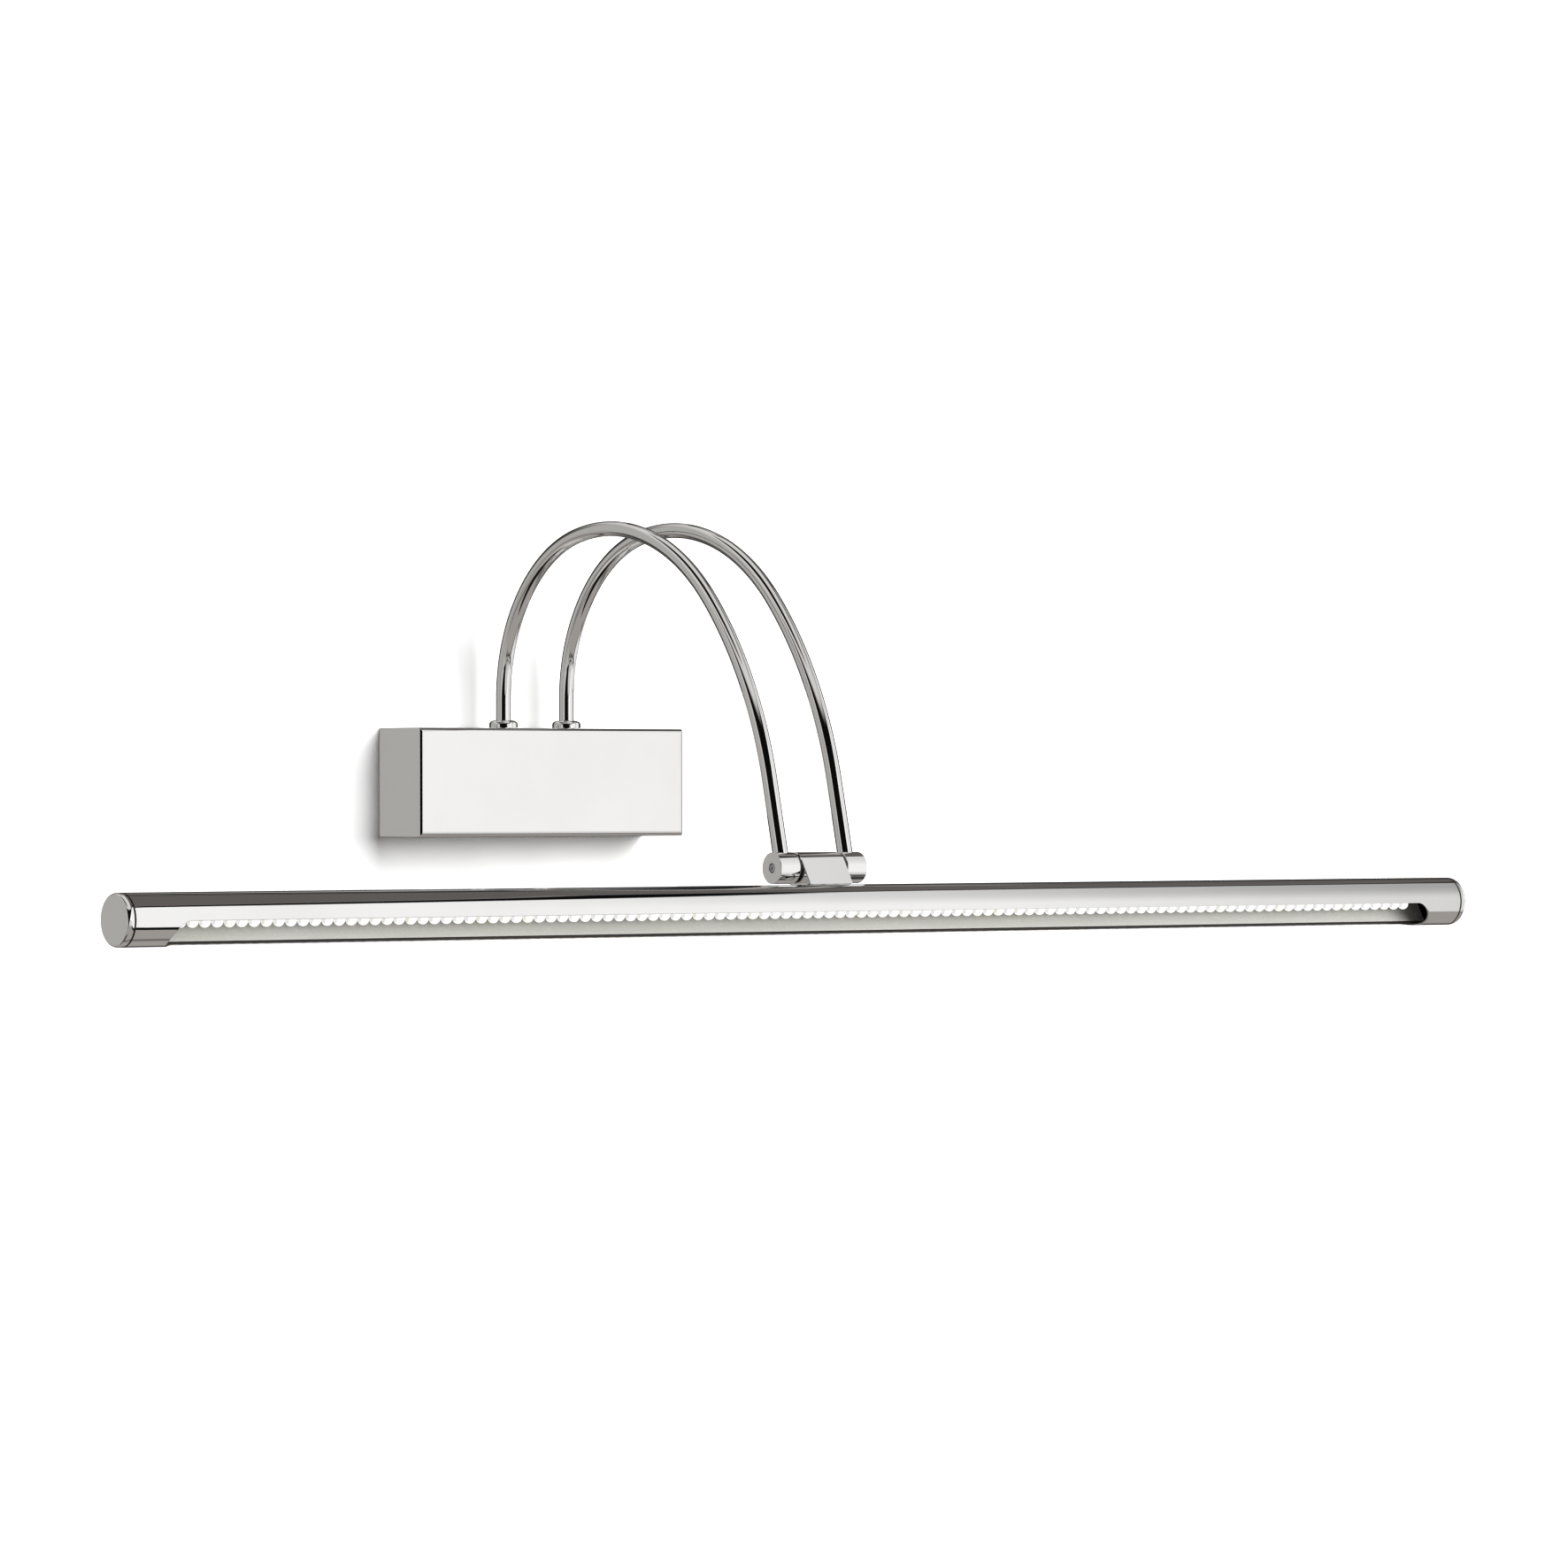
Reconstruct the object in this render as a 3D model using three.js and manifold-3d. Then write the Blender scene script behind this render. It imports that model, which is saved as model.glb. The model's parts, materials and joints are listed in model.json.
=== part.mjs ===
// Picture light: a wall box, two arched arms, a friction hinge and a long slotted lamp tube
// with a row of LEDs.
// Millimetres, +Z up. The origin is the centre of the wall box on the wall plane (y = 0).
// +X runs along the lamp and -Y points away from the wall, into the room.
import * as THREE from 'three';
import { mergeGeometries, mergeVertices } from 'three/addons/utils/BufferGeometryUtils.js';
import { RoundedBoxGeometry } from 'three/addons/geometries/RoundedBoxGeometry.js';
import Module from 'manifold-3d';

const wasm = await Module();
wasm.setup();

// ---- driving dimensions ----

const GAP = 0.3;                    // air between neighbouring pieces
const PAST = 1;                     // how far a cutter runs past the surface it opens
const SIDES = 20;                   // sides of an ordinary round piece
const SIDES_SMALL = 10;             // sides of screws, leads and small holes
const SIDES_LARGE = 36;             // sides of the lamp tube
const HEX = 6;

// The wall box, and the plate that its cover slips over.
const BOX = { width: 151, height: 50.5, depth: 33, wall: 1.2, radius: 2.4 };
const PLATE = { thickness: 1.5, clearance: 0.5, slotX: 66, slotLength: 12, slotWidth: 5.2 };
const TAB = { x: 66, width: 14, depth: 13, screwY: -8, screwRadius: 1.7, screwLength: 5, socketRadius: 0.9 };
const DRIVER = { left: -22, right: 58, front: -22, bottom: -21, top: 7, edge: 1.5 };
const EAR = { length: 6, height: 10, thickness: 2.5, z: -14 };
const TERMINAL = { left: -54, right: -30, front: -15, bottom: -8, top: 6 };
const POLE = { count: 3, wellRadius: 2.4, wireY: -7 };
const GROMMET = { x: -42, z: -16, outer: 5, bore: 3.3, flange: 6.4, flangeDepth: 2 };
const EARTH = { x: -42, z: 16.5 };

// One arm: straight up out of the box, round the bends and straight down to the hinge.
const ARM = { x: 18, y: -17.7, radius: 3.5, bore: 2.5, foot: 17, rise: 39, frontLeg: 39 };
const ARM_BENDS = [[76, 78], [108, 58], [180, 30.5]];   // radius and angle of each bend, from the back
const ARM_STEPS = 40;
const ARM_SIDES = 12;
const LEAD_RADIUS = 1.1;
const COLLAR = { radius: 6.7, height: 3.5 };
const NUT = { acrossCorners: 11.5, height: 4 };
const WASHER = { radius: 7.5, thickness: 1 };

// The hinge barrel, its hollow axle and the socket screws in its ends.
const BARREL = { radius: 7, halfLength: 24, blockHalf: 12, washer: 0.5, chamfer: 0.5 };
const AXLE = { radius: 3, bore: 1.6, halfLength: 20.5 };
const END_SCREW = { head: 1.75, headLength: 2, shank: 1.3, recess: 0.3, tip: 16, socket: 1.05 };
const NECK_TAPER = 5;               // degrees that each face of the block's neck leans in

// The lamp.
const LAMP_TILT = 36;               // degrees that the lamp leans forward of straight down
const LAMP_DROP = 22.8;             // hinge axis to tube axis
const TUBE = { radius: 11.25, wall: 1, halfLength: 366.5 };
const SLOT = { width: 17.2, halfLength: 348 };
const CAP = { flange: 3.2, rounding: 0.5, spigot: 6 };
const TONGUE = { end: 340, halfWidth: 4, thickness: 1.8 };
const LED = { count: 114, pitch: 6, radius: 2.5, centre: -1.3, shoulder: 0.6 };
const TRAY = { halfLength: 357, innerHalfWidth: 7.4, baseTop: 6.8, baseBottom: 5.8, rim: -5.2 };
const BOARD = { halfLength: 342, halfWidth: 6.9, thickness: 1.6 };
const SPACER = { halfLength: 341.8, halfWidth: 3, thickness: 1 };
const BLOCK_SCREW_X = 7.5;
const TRAY_SCREW_X = 345.5;
const BOARD_SCREWS = [-330, -110, 110, 330];
const BOARD_SCREW_Y = 5.2;

// Screws: the head's radius and height and the shank's radius. A hole is wider than its shank by the gap.
const EARTH_SCREW = { head: 3.5, height: 2.4, shank: 1.6 };
const DRIVER_SCREW = { head: 2.6, height: 1.8, shank: 1.3 };
const BLOCK_SCREW = { head: 2.75, height: 1.8, shank: 1.3 };
const TRAY_SCREW = { head: 2, height: 1.4, shank: 1 };
const BOARD_SCREW = { head: 1.8, height: 1.2, shank: 0.8 };
const DRIVE_HALF = 0.3;             // half the width of a screw's drive slot
const LEAD_HOLE = 1.7;

// ---- looks ----

const CHROME = { color: 0xe4e3e1, roughness: 0.06, metalness: 1 };
const ZINC_STEEL = { color: 0xb4b6b8, roughness: 0.35, metalness: 1 };
const BRASS = { color: 0xc9a961, roughness: 0.3, metalness: 1 };
const WHITE_PLASTIC = { color: 0xe9e8e2, roughness: 0.45, metalness: 0 };
const PALE_TRAY = { color: 0xc9cabd, roughness: 0.55, metalness: 0 };
const BOARD_WHITE = { color: 0xd8d9cd, roughness: 0.5, metalness: 0 };
const LED_WHITE = { color: 0xfdfdf8, roughness: 0.2, metalness: 0 };
const BLACK_RUBBER = { color: 0x202020, roughness: 0.8, metalness: 0 };
const FIBRE = { color: 0x3a3a3a, roughness: 0.7, metalness: 0 };
const BROWN_WIRE = { color: 0x6b4226, roughness: 0.5, metalness: 0 };
const BLUE_WIRE = { color: 0x2c4f94, roughness: 0.5, metalness: 0 };
const PALE_WIRE = { color: 0xd0d0cb, roughness: 0.4, metalness: 0 };

// ---- solids ----

// Merges a geometry's shared vertices, drops collapsed triangles and makes a manifold solid of it.
function solid(geometry) {
  const plain = geometry.clone();
  plain.deleteAttribute('normal');
  plain.deleteAttribute('uv');
  const merged = mergeVertices(plain, 1e-4);
  const corners = merged.index.array;
  const kept = [];
  for (let i = 0; i < corners.length; i += 3) {
    const [a, b, c] = [corners[i], corners[i + 1], corners[i + 2]];
    if (a !== b && b !== c && a !== c) kept.push(a, b, c);
  }
  const mesh = new wasm.Mesh({
    numProp: 3,
    vertProperties: new Float32Array(merged.attributes.position.array),
    triVerts: new Uint32Array(kept),
  });
  return new wasm.Manifold(mesh);
}

// A block between two corners.
function block(x0, x1, y0, y1, z0, z1) {
  const geometry = new THREE.BoxGeometry(x1 - x0, y1 - y0, z1 - z0);
  geometry.translate((x0 + x1) / 2, (y0 + y1) / 2, (z0 + z1) / 2);
  return solid(geometry);
}

// Turns a geometry made along +Y so that it runs along the named axis, then moves it.
function turned(geometry, axis, centre) {
  if (axis === 'x') geometry.rotateZ(-Math.PI / 2);
  if (axis === 'z') geometry.rotateX(Math.PI / 2);
  geometry.translate(...centre);
  return geometry;
}

// A round bar along an axis between two stations. centre holds its other two coordinates.
function bar(axis, radius, start, end, centre = [0, 0, 0], sides = SIDES) {
  const geometry = new THREE.CylinderGeometry(radius, radius, Math.abs(end - start), sides);
  geometry.translate(0, (start + end) / 2, 0);
  return solid(turned(geometry, axis, centre));
}

// A solid of revolution. profile lists [radius, station], from the axis back to the axis, stations rising.
function revolved(axis, profile, centre = [0, 0, 0], sides = SIDES) {
  const points = profile.map(([radius, station]) => new THREE.Vector2(radius, station));
  return solid(turned(new THREE.LatheGeometry(points, sides), axis, centre));
}

// A flat ring around an axis.
function ring(axis, radius, bore, start, end, centre = [0, 0, 0]) {
  const [low, high] = [Math.min(start, end), Math.max(start, end)];
  return bar(axis, radius, low, high, centre).subtract(bar(axis, bore, low - PAST, high + PAST, centre));
}

// A bar along X with both rims chamfered.
function chamferedBar(radius, start, end, chamfer, centre, sides = SIDES) {
  const [low, high] = [Math.min(start, end), Math.max(start, end)];
  const profile = [
    [0, low], [radius - chamfer, low], [radius, low + chamfer],
    [radius, high - chamfer], [radius - chamfer, high], [0, high],
  ];
  return revolved('x', profile, centre, sides);
}

// A flat outline in the YZ plane, extruded along X to both sides of the middle. points lists [y, z].
function slab(outline, halfLength, curveSegments) {
  const options = { depth: 2 * halfLength, bevelEnabled: false, curveSegments };
  const geometry = new THREE.ExtrudeGeometry(outline, options);
  geometry.translate(0, 0, -halfLength);
  geometry.rotateY(Math.PI / 2);
  geometry.rotateX(Math.PI / 2);
  return geometry;
}

// Names a solid, gives it its look and adds it to a group.
function piece(group, name, body, look) {
  const { numProp, vertProperties, triVerts } = body.getMesh();
  const geometry = new THREE.BufferGeometry();
  const positions = new THREE.BufferAttribute(new Float32Array(vertProperties), numProp);
  geometry.setAttribute('position', positions);
  geometry.setIndex(new THREE.BufferAttribute(new Uint32Array(triVerts), 1));
  geometry.computeVertexNormals();
  const mesh = new THREE.Mesh(geometry, new THREE.MeshStandardMaterial(look));
  mesh.name = name;
  group.add(mesh);
}

const SIDE_NAMES = [[-1, 'left'], [1, 'right']];
const radians = THREE.MathUtils.degToRad;

// ---- the arm's centreline ----

// One arm's centreline in its own plane, from a start height above the origin to a trim short of
// the hinge axis.
class ArmRoute extends THREE.Curve {
  constructor(x, startHeight, endTrim) {
    super();
    this.x = x;
    this.startHeight = startHeight;
    const bendLength = ARM_BENDS.reduce((sum, [radius, angle]) => sum + radius * radians(angle), 0);
    this.length = ARM.rise - startHeight + bendLength + ARM.frontLeg - endTrim;
  }

  getPoint(t, target = new THREE.Vector3()) {
    let left = t * this.length;
    let y = ARM.y;
    const rise = Math.min(left, ARM.rise - this.startHeight);
    let z = this.startHeight + rise;
    left -= rise;
    let heading = 0;
    for (const [radius, angle] of ARM_BENDS) {
      const turn = Math.min(left / radius, radians(angle));
      y -= radius * (Math.cos(heading) - Math.cos(heading + turn));
      z += radius * (Math.sin(heading + turn) - Math.sin(heading));
      heading += turn;
      left -= turn * radius;
    }
    return target.set(this.x, y - Math.sin(heading) * left, z + Math.cos(heading) * left);
  }
}

const HINGE = new ArmRoute(0, ARM.foot, 0).getPoint(1);
const ARM_LEAN = Math.PI - radians(ARM_BENDS.reduce((sum, [, angle]) => sum + angle, 0));
const ARM_END = AXLE.radius + 3 * GAP;   // from the hinge axis to the arm's end

// A round outline with the given number of sides.
function circle(radius, sides) {
  return Array.from({ length: sides }, (_, i) => {
    const angle = (i / sides) * 2 * Math.PI;
    return new THREE.Vector2(radius * Math.cos(angle), radius * Math.sin(angle));
  });
}

// A tube, or a rod where the bore is 0, along a route.
function swept(route, radius, sides, bore) {
  const section = new THREE.Shape(circle(radius, sides));
  if (bore > 0) section.holes.push(new THREE.Path(circle(bore, HEX)));
  const options = { steps: ARM_STEPS, extrudePath: route, bevelEnabled: false };
  return solid(new THREE.ExtrudeGeometry(section, options));
}

// ---- screws ----

// A slotted pan-head screw along an axis. seat is the station of the surface its head bears on and
// tip the end of its shank. The head is on the negative side.
function panScrew(axis, { head, height, shank }, centre, seat, tip) {
  const bearing = seat - GAP;
  const crown = bearing - height;
  const slotFloor = bearing - height / 2;
  const crownRadius = head * 0.6;
  const profile = [
    [0, crown], [crownRadius, crown], [head, slotFloor], [head, bearing],
    [shank, bearing], [shank, tip], [0, tip],
  ];
  const [x, y, z] = centre;
  const slot = axis === 'y'
    ? block(x - crownRadius, x + crownRadius, crown - PAST, slotFloor, z - DRIVE_HALF, z + DRIVE_HALF)
    : block(x - crownRadius, x + crownRadius, y - DRIVE_HALF, y + DRIVE_HALF, crown - PAST, slotFloor);
  return revolved(axis, profile, centre, SIDES_SMALL).subtract(slot);
}

// ---- the wall box ----

// A vertical bar where a cover screw goes.
function coverScrewHole(side, radius, bottom, top) {
  return bar('z', radius, bottom, top, [side * TAB.x, TAB.screwY, 0], SIDES_SMALL);
}

// The pressed cover: a rounded box, open towards the wall, with holes for the arms and its two screws.
function boxCover() {
  const { width, height, depth, wall, radius } = BOX;
  const inner = [width - 2 * wall, 2 * (depth - wall), height - 2 * wall];
  const outside = solid(new RoundedBoxGeometry(width, 2 * depth, height, 2, radius));
  const inside = solid(new RoundedBoxGeometry(...inner, 1, radius - wall));
  const behindWall = block(-width, width, 0, depth + PAST, -height, height);
  const [top, bottom] = [height / 2, -height / 2];
  let cover = outside.subtract(inside).subtract(behindWall);
  for (const [side] of SIDE_NAMES) {
    const armHole = bar('z', ARM.radius + GAP, top - 2 * wall, top + PAST, [side * ARM.x, ARM.y, 0]);
    const screwHole = coverScrewHole(side, TAB.screwRadius + GAP, bottom - PAST, bottom + 2 * wall);
    cover = cover.subtract(armHole).subtract(screwHole);
  }
  return cover;
}

function driverScrewStations() {
  return [DRIVER.left - EAR.length / 2, DRIVER.right + EAR.length / 2];
}

function terminalStations() {
  const pitch = (TERMINAL.right - TERMINAL.left) / POLE.count;
  return Array.from({ length: POLE.count }, (_, i) => TERMINAL.left + pitch * (i + 0.5));
}

// The steel plate against the wall: slots for the wall screws, a cable hole and two bent tabs for the cover.
function wallBracket() {
  const { thickness, clearance, slotX, slotLength, slotWidth } = PLATE;
  const halfWidth = BOX.width / 2 - BOX.wall - clearance;
  const halfHeight = BOX.height / 2 - BOX.wall - clearance;
  const hole = (x, z, radius) => bar('y', radius, -thickness - PAST, PAST, [x, 0, z], SIDES_SMALL);
  let plate = block(-halfWidth, halfWidth, -thickness, 0, -halfHeight, halfHeight);
  const slotReach = (slotLength - slotWidth) / 2;
  const floor = -halfHeight;
  const tabTop = floor + thickness;
  for (const [side] of SIDE_NAMES) {
    const x = side * TAB.x;
    const screwHole = coverScrewHole(side, TAB.screwRadius + GAP, floor - PAST, tabTop + PAST);
    plate = plate
      .add(block(x - TAB.width / 2, x + TAB.width / 2, -TAB.depth, -thickness / 2, floor, tabTop))
      .subtract(screwHole);
    const [from, to] = [side * slotX - slotReach, side * slotX + slotReach];
    plate = plate
      .subtract(block(from, to, -thickness - PAST, PAST, -slotWidth / 2, slotWidth / 2))
      .subtract(hole(from, 0, slotWidth / 2))
      .subtract(hole(to, 0, slotWidth / 2));
  }
  for (const x of driverScrewStations()) {
    plate = plate.subtract(hole(x, EAR.z, DRIVER_SCREW.shank + GAP));
  }
  return plate
    .subtract(hole(GROMMET.x, GROMMET.z, GROMMET.outer + GAP))
    .subtract(hole(EARTH.x, EARTH.z, EARTH_SCREW.shank + GAP));
}

const PLATE_FRONT = -PLATE.thickness - GAP;

// The LED power supply: a plastic case with an ear at each end.
function ledDriver() {
  const { left, right, front, bottom, top, edge } = DRIVER;
  const { length, height, thickness, z } = EAR;
  const caseGeometry = new RoundedBoxGeometry(right - left, PLATE_FRONT - front, top - bottom, 2, edge);
  caseGeometry.translate((left + right) / 2, (PLATE_FRONT + front) / 2, (top + bottom) / 2);
  const [earLow, earHigh] = [z - height / 2, z + height / 2];
  const earBack = PLATE_FRONT - GAP / 3;
  const ears = block(left - length, right + length, PLATE_FRONT - thickness, earBack, earLow, earHigh);
  let body = solid(caseGeometry).add(ears);
  for (const x of driverScrewStations()) {
    body = body.subtract(bar('y', DRIVER_SCREW.shank + GAP, front, PAST, [x, 0, z], SIDES_SMALL));
  }
  return body;
}

// The mains terminal block: one open well and one wire way for each pole.
function terminalBlock() {
  const { left, right, front, bottom, top } = TERMINAL;
  const { wellRadius, wireY } = POLE;
  let body = block(left, right, front, PLATE_FRONT, bottom, top);
  for (const x of terminalStations()) {
    const well = bar('y', wellRadius, front - PAST, wireY, [x, 0, (bottom + top) / 2], SIDES_SMALL);
    const wireWay = bar('z', LEAD_HOLE, bottom - PAST, top + PAST, [x, wireY, 0], SIDES_SMALL);
    body = body.subtract(well).subtract(wireWay);
  }
  return body;
}

// A slotted brass screw in a terminal's well, just under its mouth.
function terminalScrew(x) {
  const { wellRadius, wireY } = POLE;
  const z = (TERMINAL.bottom + TERMINAL.top) / 2;
  const head = TERMINAL.front + 4 * GAP;
  const tip = wireY - LEAD_HOLE - GAP;
  const slotFloor = head + PAST;
  const slot = block(x - wellRadius, x + wellRadius, head - PAST, slotFloor, z - DRIVE_HALF, z + DRIVE_HALF);
  return bar('y', wellRadius - GAP, head, tip, [x, 0, z], SIDES_SMALL).subtract(slot);
}

// The rubber grommet in the cable hole: a sleeve through the plate and a flange on its room side.
function cableGrommet() {
  const centre = [GROMMET.x, 0, GROMMET.z];
  const flangeFront = PLATE_FRONT - GROMMET.flangeDepth;
  const sleeve = bar('y', GROMMET.outer, PLATE_FRONT - PAST, -GAP / 3, centre);
  const flange = bar('y', GROMMET.flange, flangeFront, PLATE_FRONT, centre);
  return sleeve.add(flange).subtract(bar('y', GROMMET.bore, flangeFront - PAST, PAST, centre));
}

// A headless screw that holds the cover to a tab of the plate, flush with the underside.
function coverScrew(side) {
  const floor = -BOX.height / 2 + GAP / 3;
  const centre = [side * TAB.x, TAB.screwY, 0];
  const socket = bar('z', TAB.socketRadius, floor - PAST, floor + TAB.screwLength / 3, centre, HEX);
  return coverScrewHole(side, TAB.screwRadius, floor, floor + TAB.screwLength).subtract(socket);
}

function buildWallBox(group) {
  piece(group, 'wall_bracket', wallBracket(), ZINC_STEEL);
  piece(group, 'box_cover', boxCover(), CHROME);
  piece(group, 'led_driver', ledDriver(), WHITE_PLASTIC);
  piece(group, 'terminal_block', terminalBlock(), WHITE_PLASTIC);
  piece(group, 'cable_grommet', cableGrommet(), BLACK_RUBBER);
  const earthScrew = panScrew('y', EARTH_SCREW, [EARTH.x, 0, EARTH.z], -PLATE.thickness, -GAP);
  piece(group, 'earth_screw', earthScrew, BRASS);
  terminalStations().forEach((x, i) => piece(group, `terminal_screw_${i + 1}`, terminalScrew(x), BRASS));
  driverScrewStations().forEach((x, i) => {
    const screw = panScrew('y', DRIVER_SCREW, [x, 0, EAR.z], PLATE_FRONT - EAR.thickness, -GAP);
    piece(group, `driver_screw_${SIDE_NAMES[i][1]}`, screw, ZINC_STEEL);
  });
  for (const [side, name] of SIDE_NAMES) {
    piece(group, `cover_screw_${name}`, coverScrew(side), ZINC_STEEL);
  }
  const leads = [['live', 3, BROWN_WIRE], ['neutral', -5, BLUE_WIRE]];
  for (const [name, z, look] of leads) {
    const [from, to] = [TERMINAL.right + GAP, DRIVER.left - GAP];
    piece(group, `driver_lead_${name}`, bar('x', LEAD_RADIUS, from, to, [0, -10, z], SIDES_SMALL), look);
  }
}

// ---- the arms ----

// The domed collar round the foot of an arm, on top of the cover.
function armCollar(x) {
  const foot = BOX.height / 2 + GAP;
  const { radius, height } = COLLAR;
  const top = foot + height;
  const profile = [
    [0, foot], [radius, foot], [radius, foot + height * 0.45], [radius * 0.93, foot + height * 0.75],
    [radius * 0.78, foot + height * 0.94], [radius * 0.65, top], [0, top],
  ];
  const hole = bar('z', ARM.radius + GAP, foot - PAST, top + PAST, [x, ARM.y, 0]);
  return revolved('z', profile, [x, ARM.y, 0]).subtract(hole);
}

// The washer and the hexagonal nut that clamp an arm under the cover's top.
const WASHER_TOP = BOX.height / 2 - BOX.wall - GAP;
const NUT_TOP = WASHER_TOP - WASHER.thickness - GAP;

function armWasher(x) {
  return ring('z', WASHER.radius, ARM.radius + GAP, WASHER_TOP - WASHER.thickness, WASHER_TOP, [x, ARM.y, 0]);
}

function armNut(x) {
  const centre = [x, ARM.y, 0];
  const nutBottom = NUT_TOP - NUT.height;
  const hole = bar('z', ARM.radius + GAP, nutBottom - PAST, NUT_TOP + PAST, centre);
  return bar('z', NUT.acrossCorners / 2, nutBottom, NUT_TOP, centre, HEX).subtract(hole);
}

function buildArms(group) {
  for (const [side, name] of SIDE_NAMES) {
    const x = side * ARM.x;
    const tube = swept(new ArmRoute(x, ARM.foot, ARM_END), ARM.radius, ARM_SIDES, ARM.bore);
    const lead = swept(new ArmRoute(x, DRIVER.top + GAP, ARM_END + PAST), LEAD_RADIUS, HEX, 0);
    piece(group, `arm_tube_${name}`, tube, CHROME);
    piece(group, `arm_lead_${name}`, lead, PALE_WIRE);
    piece(group, `arm_collar_${name}`, armCollar(x), CHROME);
    piece(group, `arm_washer_${name}`, armWasher(x), ZINC_STEEL);
    piece(group, `arm_nut_${name}`, armNut(x), ZINC_STEEL);
  }
}

// ---- the hinge's fixed half, built about the hinge axis ----

// A round cutter along the arm's last stretch, from the hinge axis outwards.
function alongArm(x, radius, start, end) {
  const geometry = new THREE.CylinderGeometry(radius, radius, end - start, SIDES_SMALL);
  geometry.translate(0, (start + end) / 2, 0);
  geometry.rotateX(Math.PI / 2 - ARM_LEAN);
  geometry.translate(x, 0, 0);
  return solid(geometry);
}

// The barrel end at one arm: bored for the axle, counterbored for its screw and socketed for the arm.
function hingeSleeve(side) {
  const { radius, halfLength, blockHalf, washer, chamfer } = BARREL;
  const inner = blockHalf + 2 * GAP + washer;
  const headSeat = halfLength - END_SCREW.recess - END_SCREW.headLength - GAP;
  const hole = (fitting, from, to) => bar('x', fitting + GAP, side * from, side * to);
  return chamferedBar(radius, side * inner, side * halfLength, chamfer)
    .subtract(hole(AXLE.radius, inner - PAST, AXLE.halfLength + GAP))
    .subtract(hole(END_SCREW.shank, inner, halfLength))
    .subtract(hole(END_SCREW.head, headSeat, halfLength + PAST))
    .subtract(alongArm(side * ARM.x, ARM.radius + GAP, ARM_END - GAP, radius + PAST))
    .subtract(alongArm(side * ARM.x, LEAD_HOLE, 0, radius));
}

// The socket-head screw in a barrel end. It screws into the hollow axle.
function hingeScrew(side) {
  const { head, headLength, shank, recess, tip, socket } = END_SCREW;
  const face = BARREL.halfLength - recess;
  const under = face - headLength;
  const socketFloor = face - headLength * 0.7;
  const centre = [0, 0, 0];
  return chamferedBar(head, side * under, side * face, GAP, centre, SIDES_SMALL)
    .add(bar('x', shank, side * tip, side * (under + GAP), centre, SIDES_SMALL))
    .subtract(bar('x', socket, side * socketFloor, side * (face + PAST), centre, HEX));
}

function frictionWasher(side) {
  const start = side * (BARREL.blockHalf + GAP);
  return ring('x', BARREL.radius - GAP, AXLE.radius + GAP, start, start + side * BARREL.washer);
}

function buildHinge(group) {
  const axle = ring('x', AXLE.radius, AXLE.bore, -AXLE.halfLength, AXLE.halfLength);
  piece(group, 'hinge_axle', axle, ZINC_STEEL);
  for (const [side, name] of SIDE_NAMES) {
    piece(group, `hinge_sleeve_${name}`, hingeSleeve(side), CHROME);
    piece(group, `hinge_screw_${name}`, hingeScrew(side), ZINC_STEEL);
    piece(group, `friction_washer_${name}`, frictionWasher(side), FIBRE);
  }
}

// ---- the lamp, built about the hinge axis with the light pointing straight down ----

const AXIS_Z = -LAMP_DROP;               // the tube's axis
const TUBE_CENTRE = [0, 0, AXIS_Z];
const TUBE_BORE = TUBE.radius - TUBE.wall;
const BOARD_TOP = AXIS_Z + TRAY.baseBottom - GAP;
const BOARD_FACE = BOARD_TOP - BOARD.thickness;

// A vertical hole between the tube's axis and the hinge axis.
function upwardHole(x, y, radius, top = 0) {
  return bar('z', radius, AXIS_Z, top, [x, y, 0], SIDES_SMALL);
}

// The hinge's moving block: the middle of the barrel, and a slightly tapered neck down to a saddle
// on the tube.
function hingeBlock() {
  const { radius, blockHalf } = BARREL;
  const taper = radians(NECK_TAPER);
  const [topY, topZ] = [radius * Math.cos(taper), -radius * Math.sin(taper)];
  const bottomY = topY - (topZ - AXIS_Z) * Math.tan(taper);
  const corners = [[-topY, topZ], [topY, topZ], [bottomY, AXIS_Z], [-bottomY, AXIS_Z]];
  const outline = new THREE.Shape(corners.map(([y, z]) => new THREE.Vector2(y, z)));
  const screwHole = (x) => upwardHole(x, 0, BLOCK_SCREW.shank + GAP, -AXLE.radius - 6 * GAP);
  return bar('x', radius, -blockHalf, blockHalf, [0, 0, 0], SIDES_LARGE)
    .add(solid(slab(outline, blockHalf, 1)))
    .subtract(bar('x', TUBE.radius + GAP, -blockHalf - PAST, blockHalf + PAST, TUBE_CENTRE, SIDES_LARGE))
    .subtract(bar('x', AXLE.radius + GAP, -blockHalf - PAST, blockHalf + PAST))
    .subtract(upwardHole(0, 0, LEAD_HOLE))
    .subtract(screwHole(-BLOCK_SCREW_X))
    .subtract(screwHole(BLOCK_SCREW_X));
}

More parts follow.
